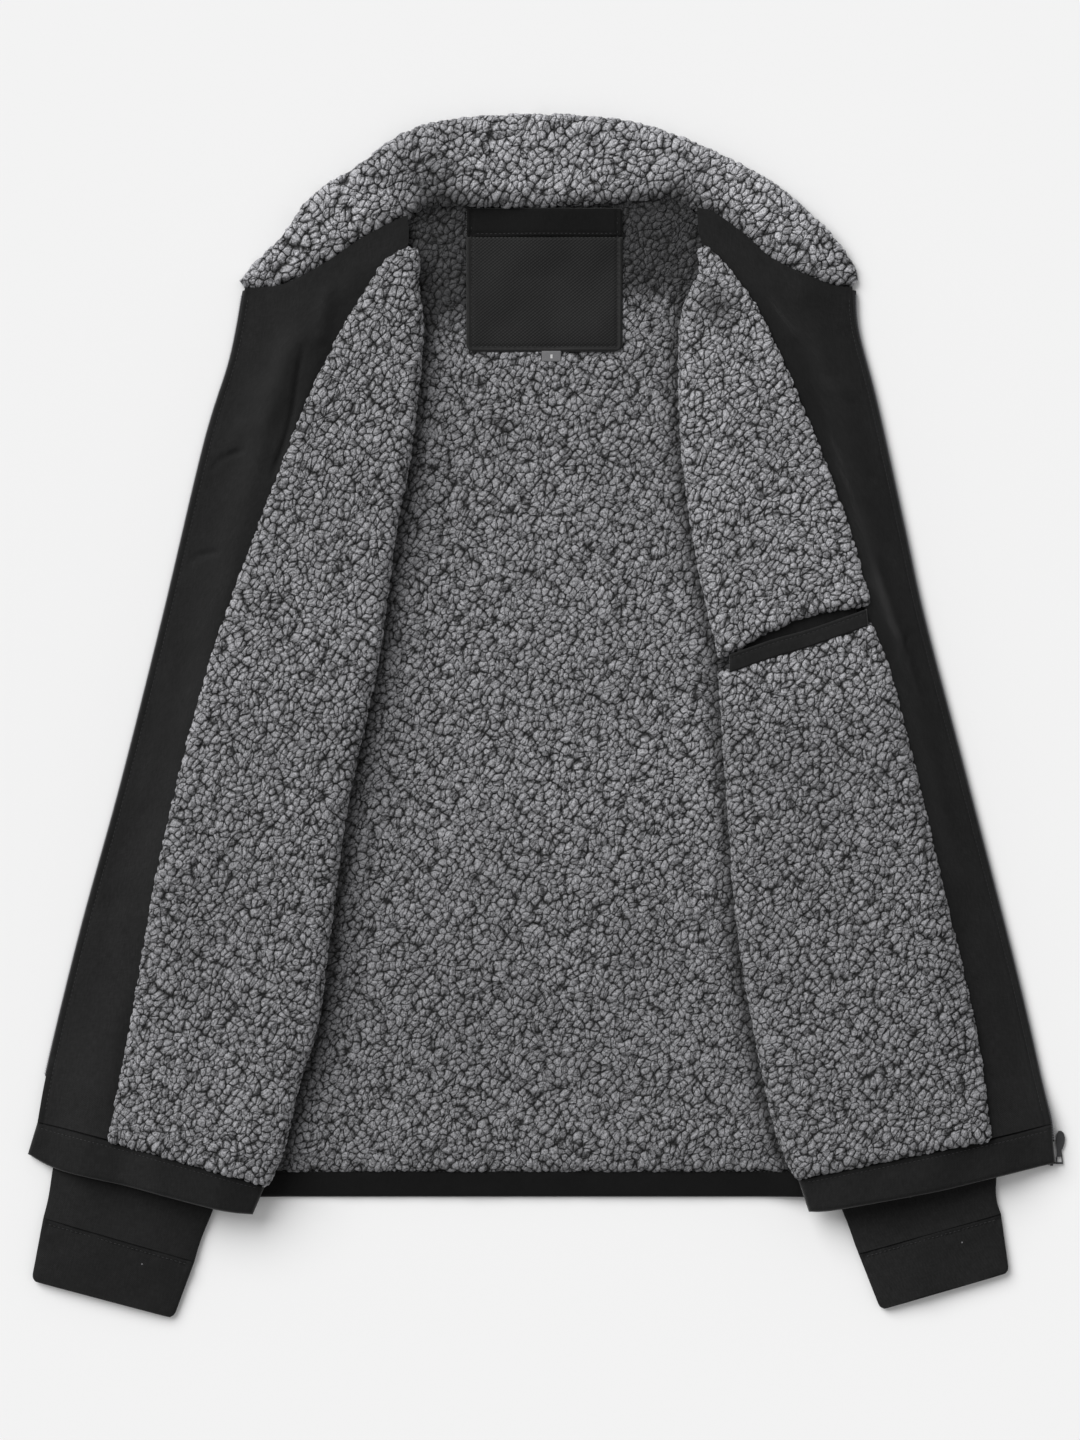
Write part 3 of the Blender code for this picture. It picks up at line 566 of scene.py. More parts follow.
class Hook:
    """Stations over cloth that rolls down at its seam, runs flat, and turns back under itself."""

    SEAM_TURNS = 5
    SEAM_SHARE = 0.3

    def __init__(self, wide: Array, radius: Array, seam_roll: float, flat_columns: int,
                 bend_columns: int, back: Array) -> None:
        """Lays the stations of each row.

        Args:
            wide: Width of each row, from its seam to its fold.
            radius: Radius of each row's fold.
            seam_roll: The most that the roll at the seam measures.
            flat_columns: Stations on the flat.
            bend_columns: Stations round the fold.
            back: How far each station after the fold lies from it, rows by columns.
        """
        self.turn = np.linspace(0, math.pi / 2, self.SEAM_TURNS + 1)[:-1]
        self.bend = np.linspace(0, math.pi, bend_columns + 1)[None, 1:]
        self.rolls = np.minimum(seam_roll, wide * self.SEAM_SHARE)[:, None]
        self.back_columns = back.shape[1]
        self.hinge = self.SEAM_TURNS + flat_columns - 1
        fold_at, radius = (wide - radius)[:, None], radius[:, None]
        flat = self.rolls + (fold_at - self.rolls) * np.linspace(0, 1, flat_columns)[None, :]
        bend_on = fold_at + radius * self.bend
        self.at = np.concatenate([self.rolls * (1 - np.cos(self.turn))[None, :], flat,
                                  fold_at + radius * np.sin(self.bend), fold_at - back], axis=1)
        self.on = np.concatenate([self.rolls * (self.turn - math.pi / 2 + 1)[None, :], flat,
                                  bend_on, bend_on[:, -1:] + back], axis=1)

    def fold_down(self, top: Array, low: Array | float, drop: float = 1.0,
                  lift: float = 0.0) -> Array:
        """Heights of the cloth: rolled down at the seam, bent to a lower level, and back along it.

        Args:
            top: Heights of the upper face.
            low: The lower level.
            drop: How far the seam's roll goes down, over its radius.
            lift: How far the returning cloth stands over the lower level.

        Returns:
            The heights.
        """
        z = top.copy()
        z[:, :self.SEAM_TURNS] -= self.rolls * (1 - np.sin(self.turn))[None, :] * drop
        crown = z[:, self.hinge:self.hinge + 1]
        z[:, self.hinge + 1:-self.back_columns] = ((crown + low) / 2
                                                   + (crown - low) / 2 * np.cos(self.bend))
        z[:, -self.back_columns:] = low + lift
        return z


# ---------------------------------------------------------------- shader maths


def grey(tone: float, tint: tuple[float, float, float] = (1, 1, 1)) -> tuple[float, float, float]:
    """A colour of one tone, tinted."""
    return tuple(tone * part for part in tint)


def operator(operation: str, swapped: bool = False) -> Callable:
    """A Python operator of a Value, which adds one Math node.

    Args:
        operation: The node's operation.
        swapped: Whether the other value goes first, as in a reflected form.

    Returns:
        The method.
    """
    def applied(self: "Value", other: "Value | float") -> "Value":
        """This value and the other through the node."""
        return self.through(operation, *((other, self) if swapped else (self, other)))

    return applied


class Value:
    """A number socket, whose maths is written as Python expressions."""

    def __init__(self, graph: "Graph", socket: bpy.types.NodeSocket) -> None:
        """Wraps a socket of a graph."""
        self.graph = graph
        self.socket = socket

    def through(self, operation: str, *inputs: "Value | float") -> "Value":
        """The result of a Math node of this operation and these inputs."""
        made = self.graph.node("ShaderNodeMath", {"operation": operation}, dict(enumerate(inputs)))
        return Value(self.graph, made.outputs[0])

    __add__ = __radd__ = operator("ADD")
    __mul__ = __rmul__ = operator("MULTIPLY")
    __sub__, __rsub__ = operator("SUBTRACT"), operator("SUBTRACT", swapped=True)
    __truediv__, __rtruediv__ = operator("DIVIDE"), operator("DIVIDE", swapped=True)
    over = operator("GREATER_THAN")
    least = operator("MINIMUM")

    def __abs__(self) -> "Value":
        """Its size, without its sign."""
        return self.through("ABSOLUTE", self)

    def wave(self) -> "Value":
        """Its sine."""
        return self.through("SINE", self)


class Graph:
    """A graph of nodes."""

    def __init__(self, tree: bpy.types.NodeTree) -> None:
        """Wraps a node tree."""
        self.tree = tree

    def node(self, kind: str, settings: dict | None = None,
             inputs: dict | None = None) -> bpy.types.Node:
        """Adds a node.

        Args:
            kind: The node's type.
            settings: Its properties, set first. A ramp's stops are given as "stops".
            inputs: A value, a link or a Value for each of its sockets, by name or number.

        Returns:
            The node.
        """
        made = self.tree.nodes.new(kind)
        for key, value in (settings or {}).items():
            if key == "stops":
                self.set_stops(made.color_ramp, value)
            else:
                setattr(made, key, value)
        for key, value in (inputs or {}).items():
            self.feed(made.inputs[key], value)
        return made

    def feed(self, socket: bpy.types.NodeSocket, value: object) -> None:
        """Links a value to a socket, or sets it there."""
        if isinstance(value, Value):
            value = value.socket
        if isinstance(value, bpy.types.NodeSocket):
            self.tree.links.new(value, socket)
        else:
            socket.default_value = value

    @staticmethod
    def set_stops(ramp: bpy.types.ColorRamp, stops: list[tuple]) -> None:
        """Sets a ramp's stops, each a place and a colour."""
        while len(ramp.elements) < len(stops):
            ramp.elements.new(0.5)
        for element, (place, colour) in zip(ramp.elements, stops):
            element.position = place
            element.color = (*colour, 1)

    def bent(self, vector: bpy.types.NodeSocket, scale: float,
             reach: float) -> bpy.types.NodeSocket:
        """A vector pushed about by smooth noise.

        Args:
            vector: The vector.
            scale: Swells a metre.
            reach: How far it is pushed, in metres.

        Returns:
            The pushed vector.
        """
        noise = self.node("ShaderNodeTexNoise", {"noise_dimensions": "2D"},
                          {"Vector": vector, "Scale": scale, "Detail": 0.0})
        push = self.node("ShaderNodeVectorMath", {"operation": "MULTIPLY_ADD"},
                         {0: noise.outputs["Color"], 1: (reach, reach, 0),
                          2: (-reach / 2, -reach / 2, 0)})
        made = self.node("ShaderNodeVectorMath", {"operation": "ADD"},
                         {0: vector, 1: push.outputs["Vector"]})
        return made.outputs["Vector"]

    def cells(self, vector: bpy.types.NodeSocket, scale: float, which: str) -> tuple[Value, Value]:
        """Distance to a field of scattered points, and a number of the nearest one.

        Args:
            vector: The place.
            scale: Points a metre.
            which: F1 for the nearest point, F2 for the second nearest.

        Returns:
            The distance, in cells, and the number from 0 to 1.
        """
        made = self.node("ShaderNodeTexVoronoi", {"voronoi_dimensions": "2D", "feature": which},
                         {"Vector": vector, "Scale": scale, "Randomness": 0.86})
        own = self.parts(made.outputs["Color"])[0]
        return Value(self, made.outputs["Distance"]), own

    def ease(self, value: Value, low: Value | float, high: Value | float) -> Value:
        """A soft step from 0 to 1 as value goes from low to high."""
        made = self.node("ShaderNodeMapRange", {"interpolation_type": "SMOOTHSTEP"},
                         {"Value": value, "From Min": low, "From Max": high})
        return Value(self, made.outputs["Result"])

    def cloth(self) -> bpy.types.NodeSocket:
        """The piece's place on its unrolled cloth, in metres."""
        return self.node("ShaderNodeUVMap", {"uv_map": "Cloth"}).outputs["UV"]

    def place(self) -> bpy.types.NodeSocket:
        """The place in the jacket's frame, in metres."""
        return self.node("ShaderNodeTexCoord").outputs["Object"]

    def kept(self, name: str) -> Value:
        """A number kept on the mesh."""
        made = self.node("ShaderNodeAttribute", {"attribute_name": name})
        return Value(self, made.outputs["Fac"])

    def noise(self, vector: bpy.types.NodeSocket, scale: float, detail: float = 2.0,
              rough: float = 0.5) -> Value:
        """Noise from 0 to 1 over a vector, scale being swells a metre."""
        made = self.node("ShaderNodeTexNoise", {"noise_dimensions": "3D"},
                         {"Vector": vector, "Scale": scale, "Detail": detail, "Roughness": rough})
        return Value(self, made.outputs["Fac"])

    def stretched(self, vector: bpy.types.NodeSocket, scale: tuple[float, float, float],
                  turn: float = 0.0) -> bpy.types.NodeSocket:
        """A vector turned about Z, then scaled along its axes."""
        turned = self.node("ShaderNodeVectorRotate", {"rotation_type": "Z_AXIS"},
                           {"Vector": vector, "Angle": turn})
        made = self.node("ShaderNodeVectorMath", {"operation": "MULTIPLY"},
                         {0: turned.outputs["Vector"], 1: scale})
        return made.outputs["Vector"]

    def tilted(self, vector: bpy.types.NodeSocket) -> bpy.types.NodeSocket:
        """A vector turned about every axis, off the noise's own lattice."""
        made = self.node("ShaderNodeVectorRotate", {"rotation_type": "EULER_XYZ"},
                         {"Vector": vector, "Center": (0.0131, 0.0217, 0.0123),
                          "Rotation": (0.55, 0.4, 0.3)})
        return made.outputs["Vector"]

    def parts(self, vector: bpy.types.NodeSocket) -> tuple[Value, Value, Value]:
        """The three parts of a vector."""
        made = self.node("ShaderNodeSeparateXYZ", None, {"Vector": vector})
        return tuple(Value(self, made.outputs[k]) for k in range(3))

    def ramp(self, value: Value, stops: list[tuple]) -> bpy.types.NodeSocket:
        """A colour for each value, through stops of place and colour."""
        return self.node("ShaderNodeValToRGB", {"stops": stops}, {"Fac": value}).outputs["Color"]

    def blend(self, share: Value | float, first: object, second: object,
              how: str = "MIX") -> bpy.types.NodeSocket:
        """Two colours mixed by a share."""
        made = self.node("ShaderNodeMix", {"data_type": "RGBA", "blend_type": how},
                         {"Factor": share, 6: first, 7: second})
        return made.outputs[2]

    def with_painted_shade(self, colour: bpy.types.NodeSocket, least: float) -> bpy.types.NodeSocket:
        """A colour with painted shade: darkened, down to this least share of it, where the mesh's
        painted shade is 1.
        """
        # Painted shade, read from a number kept on the mesh
        painted_shade = self.ramp(self.kept("painted_shade"), [(0.0, grey(1.0)), (1.0, grey(least))])
        return self.blend(1.0, colour, painted_shade, "MULTIPLY")

    def bump(self, height: Value, reach: float, strength: float = 1.0,
             under: bpy.types.NodeSocket | None = None) -> bpy.types.NodeSocket:
        """A normal from heights from 0 to 1, reach being their size in metres."""
        inputs = {"Height": height, "Distance": reach, "Strength": strength}
        if under is not None:
            inputs["Normal"] = under
        return self.node("ShaderNodeBump", None, inputs).outputs["Normal"]


class Surface(Graph):
    """The graph of one material."""

    made: dict[str, bpy.types.Material] = {}

    def __init__(self, name: str) -> None:
        """Starts a material of this name."""
        self.material = bpy.data.materials.new(name)
        self.material.use_nodes = True
        super().__init__(self.material.node_tree)
        Surface.made[name] = self.material

    def shade(self, inputs: dict[str, object]) -> None:
        """Gives the Principled shader's sockets their values and links, by name."""
        for socket, value in inputs.items():
            self.feed(self.tree.nodes["Principled BSDF"].inputs[socket], value)


# ---------------------------------------------------------------- finishes


class Finish:
    """A finish, whose material is made once."""

    name: str

    def material(self) -> bpy.types.Material:
        """The finish's material."""
        if self.name not in Surface.made:
            self.paint(Surface(self.name))
        return Surface.made[self.name]


@dataclass(frozen=True)
class Twill(Finish):
    """Dark brushed cotton twill: fine diagonal ribs, a little fibre bloom, soft wear."""

    name: str = "dark_twill"
    tone: float = 0.0125
    bloom: float = 0.015
    rib: float = 0.0011
    relief: float = 0.00018
    lint: float = 0.0

    def paint(self, graph: Surface) -> None:
        """Adds the finish's nodes to its new material."""
        cloth = graph.cloth()
        across, along, _ = graph.parts(cloth)
        wobble = graph.noise(cloth, 120, 3) * 0.0007
        rib = ((across + along * 0.62 + wobble) * (TURN / self.rib)).wave() * 0.5 + 0.5
        thread = graph.noise(graph.stretched(cloth, (900, 190, 1)), 1.0, 1)
        cross = graph.noise(graph.stretched(cloth, (190, 900, 1)), 1.0, 1)
        fibre = thread * 0.6 + cross * 0.4
        worn = graph.noise(cloth, 14, 4, 0.6)
        tone = rib * 0.35 + fibre * 0.75 + worn * 0.55 - 0.35
        colour = graph.ramp(tone, [(0.1, grey(self.tone * 0.4)), (0.5, grey(self.tone * 0.95)),
                                   (1.0, grey(self.tone + self.bloom, (1, 1, 1.02)))])
        if self.lint:
            colour = self.specks(graph, cloth, colour)
        # Painted shade where the mesh's number says: on the back hem band and the patch's band
        colour = graph.with_painted_shade(colour, 0.12)
        weave = graph.bump(rib * 0.6 + fibre * 0.6, self.relief)
        soft = graph.bump(graph.noise(cloth, 42, 3, 0.55), 0.0011, 0.5, weave)
        graph.shade({"Base Color": colour, "Normal": soft, "Roughness": 0.86, "Sheen Weight": 0.14,
                     "Sheen Roughness": 0.35, "Specular IOR Level": 0.16})

    def specks(self, graph: Graph, cloth: bpy.types.NodeSocket,
               colour: bpy.types.NodeSocket) -> bpy.types.NodeSocket:
        """Adds a few pale specks of lint to a colour.

        Args:
            graph: The material's graph.
            cloth: The place on the cloth.
            colour: The colour under the specks.

        Returns:
            The colour with its specks.
        """
        cells = graph.node("ShaderNodeTexVoronoi", {"feature": "F1"},
                           {"Vector": cloth, "Scale": 95.0, "Randomness": 1.0})
        pick, _, _ = graph.parts(cells.outputs["Color"])
        near = 1 - Value(graph, cells.outputs["Distance"]).over(0.055)
        spot = near * pick.over(1 - self.lint)
        return graph.blend(spot * 0.6, colour, (0.3, 0.3, 0.31, 1))


@dataclass(frozen=True)
class SherpaFinish(Finish):
    """Curled fleece: pale tips over painted shade at the roots and in the cracks, with fine fibre.
    """

    name: str
    pile: Pile
    gain: float = 1.0
    tint: tuple[float, float, float] = (0.985, 0.985, 1.03)

    def paint(self, graph: Surface) -> None:
        """Adds the finish's nodes to its new material."""
        cloth, place = graph.cloth(), graph.place()
        pile, own = self.pile.height(graph, cloth)
        fibre = graph.noise(place, 760, 3, 0.85)
        strand = graph.noise(graph.stretched(place, (2000, 620, 1200), 0.7), 1.0, 1)
        # Painted shade: the colour goes dark low in the pile, at the roots and in the cracks
        # between curls
        painted_root_shade = graph.ease(pile, 0.24, 0.76)
        level = painted_root_shade * 0.66 + pile * 0.24 + (fibre - 0.5) * 1.8 + (strand - 0.5) * 0.9 - 0.06
        level = level + (own - 0.5) * 0.06
        stops = [(0.0, 0.013), (0.22, 0.042), (0.5, 0.19), (0.72, 0.34), (1.0, 0.64)]
        colour = graph.ramp(level, [(at, grey(tone * self.gain, self.tint)) for at, tone in stops])
        # Painted shade: soft swells of shade at random over the pile, then the mesh's painted shade
        # on top
        swell = graph.noise(place, 11, 3, 0.5)
        shade = graph.ramp(swell, [(0.3, grey(0.84)), (0.7, grey(1.0))])
        colour = graph.with_painted_shade(graph.blend(1.0, colour, shade, "MULTIPLY"), 0.16)
        coarse = graph.bump(pile, 0.0052, 1.0)
        fine = graph.bump(fibre * 0.7 + strand * 0.4, 0.0016, 0.9, coarse)
        graph.shade({"Base Color": colour, "Normal": fine, "Roughness": 0.95, "Sheen Weight": 0.15,
                     "Sheen Roughness": 0.6, "Specular IOR Level": 0.1})


@dataclass(frozen=True)
class SpacerMesh(Finish):
    """Dark spacer mesh: staggered small holes in a woven field."""

    name: str = "spacer_mesh"
    pitch: float = 0.0028
    tone: float = 0.0078

    def paint(self, graph: Surface) -> None:
        """Adds the finish's nodes to its new material."""
        cloth = graph.cloth()
        across, along, _ = graph.parts(graph.stretched(cloth, (1.0, 1.25, 1.0)))
        turns = TURN / self.pitch
        hole = (across * turns).wave() * (along * turns).wave() * 0.5 + 0.5
        fibre = graph.noise(graph.stretched(cloth, (700, 260, 1)), 1.0, 2)
        level = hole * 0.8 + fibre * 0.35
        colour = graph.ramp(level, [(0.2, grey(self.tone * 0.25)), (0.6, grey(self.tone * 0.9)),
                                    (1.0, grey(self.tone * 2.6))])
        # Painted shade: random soft patches of light and shade that stand for the cloth's gentle
        # waves
        wave = graph.ramp(graph.noise(graph.tilted(cloth), 24, 1),
                          [(0.3, grey(0.55)), (0.72, grey(1.1))])
        colour = graph.blend(1.0, colour, wave, "MULTIPLY")
        bound = graph.kept("bound")
        colour = graph.blend(bound, colour, (*grey(TWILL_FINISH.tone * 0.8), 1))
        graph.shade({"Base Color": colour, "Normal": graph.bump(hole * (1 - bound), 0.0006, 0.8),
                     "Roughness": 0.72, "Specular IOR Level": 0.3, "Sheen Weight": 0.1})


@dataclass(frozen=True)
class Plain(Finish):
    """A finish of one colour with fine grain, for threads, metal and small trims."""

    name: str
    tone: tuple[float, float, float]
    rough: float = 0.6
    metal: float = 0.0
    grain: float = 900.0
    relief: float = 0.00005

    def paint(self, graph: Surface) -> None:
        """Adds the finish's nodes to its new material."""
        grain = graph.noise(graph.place(), self.grain, 3, 0.6)
        stops = [(0.25, grey(0.78, self.tone)), (0.75, grey(1.22, self.tone))]
        graph.shade({"Base Color": graph.ramp(grain, stops), "Metallic": self.metal,
                     "Roughness": grain * 0.2 + (self.rough - 0.1),
                     "Normal": graph.bump(grain, self.relief)})


TWILL_FINISH = Twill()
CUFF_FINISH = Twill("cuff_twill", lint=0.09)
SHERPA_PILE = Pile()
SHERPA_FINISH = SherpaFinish("grey_fleece", SHERPA_PILE)
COLLAR_PILE = Pile(curl=5.5, clump=20, high=3.6)
COLLAR_FINISH = SherpaFinish("collar_fleece", COLLAR_PILE, 1.24)
MESH_FINISH = SpacerMesh()
THREAD_FINISH = Plain("dark_thread", (0.014, 0.014, 0.015), 0.5)
TAPE_FINISH = Plain("zip_tape", (0.018, 0.018, 0.019), 0.8, grain=1500, relief=0.00012)
TEETH_FINISH = Plain("zip_teeth", (0.20, 0.20, 0.21), 0.4, 0.5)
METAL_FINISH = Plain("dark_metal", (0.052, 0.052, 0.054), 0.45, 0.6, 500, 0.00004)
TAB_FINISH = Plain("tab_weave", (0.155, 0.155, 0.16), 0.75, grain=1400, relief=0.0001)
BAR_FINISH = Plain("tab_bar", (0.62, 0.62, 0.62), 0.7, grain=1400, relief=0.0001)


# ---------------------------------------------------------------- pieces


def settle(made: bpy.types.Object, node: str | None) -> bpy.types.Object:
    """Rides a piece on the jacket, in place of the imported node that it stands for.

    Args:
        made: The piece.
        node: The node that it replaces, if any.

    Returns:
        The piece.
    """
    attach(made, Body.JACKET.value)
    if node:
        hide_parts(node)
    log.info("%s: %d faces", made.name, len(made.data.polygons))
    return made


def lay(skin: Skin, finish: Finish, node: str) -> None:
    """Writes a sheet in its finish, in place of the node that it stands for.

    Args:
        skin: Its skin.
        finish: Its finish.
        node: The node that it replaces.
    """
    made = settle(skin.build(finish.material()), node)


@dataclass(frozen=True)
class Topstitch:
    """Rows of short stitches, made as one piece."""

    name: str
    pitch: float = 3.1
    long: float = 2.3
    thick: float = 0.62

    def ends(self, path: Array) -> tuple[Array, Array]:
        """The first and last point of each stitch along a path of points."""
        steps = np.linalg.norm(np.diff(path, axis=0), axis=1)
        run = np.concatenate([[0], np.cumsum(steps)])
        count = max(int(run[-1] / self.pitch), 1)
        goal = (np.arange(count) + 0.5) * run[-1] / count
        return tuple(np.stack([np.interp(goal + off, run, path[:, k]) for k in range(3)], -1)
                     for off in (-self.long / 2, self.long / 2))

    def sew(self, *paths: tuple[Array, Array]) -> None:
        """Makes the stitches along paths, each of plan points and their heights."""
        bm = bmesh.new()
        for plan, z in paths:
            for first, last in zip(*self.ends(np.concatenate([plan, z[:, None]], -1))):
                way = Vector(last - first)
                turn = way.to_track_quat("X", "Z").to_matrix().to_4x4()
                size = Matrix.Diagonal((way.length / 2, self.thick / 2, self.thick / 2.6, 1))
                place = Matrix.Translation(Vector((first + last) / 2))
                bmesh.ops.create_icosphere(bm, subdivisions=1, radius=1.0,
                                           matrix=place @ turn @ size)
        bmesh.ops.scale(bm, vec=(MM, MM, MM), verts=bm.verts)
        mesh = mesh_of(bm, self.name)
        mesh.shade_smooth()
        settle(add_object(mesh, THREAD_FINISH.material()), None)


# The hanger patch, which presses the pile under it
PATCH_X = -1.5
PATCH_HALF = 54.6
PATCH_TOP = 357.5
PATCH_CROSS = 336.0
PATCH_FOOT = 256.0


@dataclass
class BackPanel:
    """The back: its shell, its lining with the pile, and its hem band."""

    foot: float = -313.0
    head: float = 355.0
    shown_margin: float = 16.0
    shown_columns: int = 214
    hidden_columns: int = 6
    row_pitch: float = 1.62
    foot_roll: float = 4.5
    roll_high: float = 3.4
    hem_high: float = 4.4

    def __post_init__(self) -> None:
        """Lays the two folds that bound what shows of the lining."""
        self.left = Line(OUTLINES[Hand.LEFT].fold)
        self.right = Line(OUTLINES[Hand.RIGHT].fold)

    def fold_x(self, line: Line, y: Array) -> Array:
        """X of a fold at y."""
        order = np.argsort(line.fine[:, 1])
        return np.interp(y, line.fine[order, 1], line.fine[order, 0])

    def lining_face(self, x: Array, y: Array) -> Array:
        """Height of the pile's roots on the back."""
        base = sleeve_rise(x, y) + BACK_HIGH - PILE_SINK
        swell = 0.7 * drift(x, y, 62, 3) + 0.45 * drift(x, y, 24, 4)
        valley = Crease((95, 190), (18, 95), 13, -2.0).lift(x, y)
        ridge = Crease((38, 155), (-4, 128), 12, 1.6).lift(x, y)
        roll = self.roll_high * np.exp(-(((y - self.foot - 20) / 13) ** 2))
        return base + swell + valley + ridge + roll

    def build(self) -> None:
        """Builds the shell, the lining and the hem band."""
        self.build_shell()
        self.build_lining()
        self.build_hem()

    def build_shell(self) -> None:
        """The outer cloth under everything, closed all round."""
        u, v = shares(90, 61, across=(-1, 1))
        y = self.head + (self.foot - self.head) * v
        x = u * back_half(y)
        y = np.where(v == 0, np.interp(x, *np.array(NECK).T) - SEAM_GAP, y)
        rise = sleeve_rise(x, y)
        skin = pillow("back_cloth", np.stack([x, y], -1), rise + TWILL, rise, 0.8)
        lay(skin, TWILL_FINISH, "back_shell")

    def build_lining(self) -> None:
        """The lining, close-ribbed with pile where it shows."""
        length = self.head - self.foot + 2.5
        run, up, flat = rolled(length, self.foot_roll, self.row_pitch, (False, True))
        y = (self.head - run)[:, None]
        half = back_half(y)
        start = np.maximum(self.fold_x(self.left, y) - self.shown_margin, -half + 8)
        stop = np.minimum(self.fold_x(self.right, y) + self.shown_margin, half - 8)
        shown = np.linspace(0, 1, self.shown_columns)[None, :]
        hidden = np.linspace(0, 1, self.hidden_columns, endpoint=False)[None, :]
        x = np.concatenate([
            -half + (start + half) * hidden, start + (stop - start) * shown,
            (half + (stop - half) * hidden)[:, ::-1]], axis=1)
        y = y + 0 * x
        neck = np.interp(x, *np.array(NECK).T) - SEAM_GAP
        y = y + (neck - self.head) * np.clip(1 - run / 30, 0, 1)[:, None] ** 2
        z = self.lining_face(x, y) - self.foot_roll * (1 - up[:, None])
        spread = np.stack([x, y + (run - flat)[:, None]], -1)
        skin = Skin("back_sherpa", np.stack([x, y, z], -1), spread)
        pressed = (soft_step((PATCH_HALF + 1.5 - np.abs(x - PATCH_X)) / 3)
                   * soft_step((y - PATCH_FOOT + 1.5) / 3))
        past_left, past_right = x - self.fold_x(self.left, y), self.fold_x(self.right, y) - x
        under = soft_step((past_left + 8) / 8) * soft_step((past_right + 8) / 8)
        skin.raise_pile(SHERPA_PILE, (1 - 0.8 * pressed) * (0.35 + 0.65 * under))
        # Painted shade: dark beside each fold, in the dip under the collar at the neck, a little
        # all over and more towards the foot
        aside = np.minimum(np.abs(past_left), np.abs(past_right))
        neck_painted_shade = soft_step((y - 276 + 16 * (x < 0)) / 38) * (0.95 + 0.1 * drift(x, y, 20, 44))
        foot_painted_shade = 0.15 + 0.17 * soft_step((-20 - y) / 220)
        skin.values["painted_shade"] = np.clip(0.85 * np.exp(-((aside / 10) ** 2)) + neck_painted_shade + foot_painted_shade, 0, 1)
        lay(skin, SHERPA_FINISH, "back_lining")

    def build_hem(self) -> None:
        """The turned band below the lining, with its stitching."""
        u, v = shares(190, 22)
        half = float(back_half(np.array(self.foot)))
        x = (2 * v - 1) * half
        y = self.foot - SEAM_GAP - BACK_HEM_DEPTH * u
        rise = sleeve_rise(x, np.full_like(x, self.foot))
        seam = -0.9 * np.exp(-(((y - self.foot + 4.2) / 1.1) ** 2))
        skin = pillow("back_hem", np.stack([x, y], -1), rise + self.hem_lie(x, y) + seam, rise, 1.7)
        # Painted shade over the whole band, which lies low between the fronts
        skin.values["painted_shade"] = np.full(skin.points.shape[:2], 0.8)
        lay(skin, TWILL_FINISH, "back_hem_band")
        x = np.linspace(-half + 30, half - 30, 160)
        y = np.full_like(x, self.foot - 4.4)
        z = sleeve_rise(x, y) + self.hem_lie(x, y) - 0.75
        Topstitch("back_hem_stitches").sew((np.stack([x, y], -1), z))

    def hem_lie(self, x: Array, y: Array) -> Array:
        """Height of the hem band over what it lies on."""
        return self.hem_high + 0.3 * drift(x, y, 26, 8) + 0.25 * drift(x, y, 9, 9)


def pillow(name: str, plan: Array, top: Array, low: Array, edge: float) -> Skin:
    """A closed flat-lying piece: an upper face, a lower face, and rounded edges between them.

    Args:
        name: The piece's name.
        plan: Plan points, rows by columns by two.
        top: Heights of the upper face.
        low: Heights of the lower face.
        edge: How far in from its edges each face curves.

    Returns:
        The closed skin.
    """
    across = plan[:, -1] - plan[:, 0]
    wide = np.linalg.norm(across, axis=1)
    down = plan[-1, plan.shape[1] // 2] - plan[0, plan.shape[1] // 2]
    long = float(np.linalg.norm(down))
    columns, rows = plan.shape[1], plan.shape[0]
    u = np.linspace(0, 1, columns)[None, :]
    v = np.linspace(0, 1, rows)[:, None]
    inside = np.minimum(np.minimum(u, 1 - u) * wide[:, None], np.minimum(v, 1 - v) * long)
    share = np.clip(inside / edge, 0, 1)
    full = np.sqrt(np.clip(1 - (1 - share) ** 2, 0, 1))
    middle = (top + low) / 2
    upper = np.concatenate([plan, (middle + (top - middle) * full)[..., None]], -1)
    lower = np.concatenate([plan, (middle + (low - middle) * full)[..., None]], -1)
    points = np.concatenate([upper, lower[:, ::-1][:, 1:]], axis=1)
    spread = np.concatenate([plan, plan[:, ::-1][:, 1:] + across[:, None]], axis=1)
    return Skin(name, points, spread, Form.PILLOW)


# ---------------------------------------------------------------- fronts


@dataclass(frozen=True)
class FrontOutline:
    """The curves of one front, from the neck to the hem."""

    edge: Points
    seam: Points
    fold: Points
    hem: Points


OUTLINES = {
    Hand.LEFT: FrontOutline(
        edge=[(-212, 299), (-221, 252), (-239, 193), (-268, 71), (-298, -48), (-325, -146),
              (-348, -240), (-356, -282)],
        seam=[(-96, 349), (-95, 328), (-118, 309), (-147, 258), (-168, 213), (-210, 103),
              (-238, 21), (-268, -101), (-289, -219), (-304, -294)],
        fold=[(-93, 325), (-91, 300), (-88, 266), (-96, 187), (-107, 128), (-120, 36), (-140, -57),
              (-150, -129), (-161, -210), (-175, -258), (-186, -304), (-196, -325)],
        hem=[(-362.8, -305), (-340, -316), (-288, -328), (-230, -343), (-205, -346.5)]),
    Hand.RIGHT: FrontOutline(
        edge=[(216, 299), (218, 271), (231, 220), (250, 134), (264, 70), (290, -29), (327, -172),
              (347, -258), (353, -283)],
        seam=[(105, 356), (103, 341), (121, 318), (142, 290), (163, 248), (202, 152), (224, 85),
              (241, 20), (270, -99), (298, -219), (308, -293)],
        fold=[(107, 327), (103, 299), (96, 281), (94, 253), (96, 187), (107, 109), (121, 41),
              (126, -34), (135, -145), (147, -220), (162, -289), (175, -320)],
        hem=[(355.4, -311), (315, -320.6), (274, -330), (203, -343), (183, -344.5)]),
}
POCKET_UPPER = [(224, 80), (184, 73), (148, 58), (122, 43)]
WELT_TOP = [(224, 76), (184, 62), (156, 54), (122, 42)]
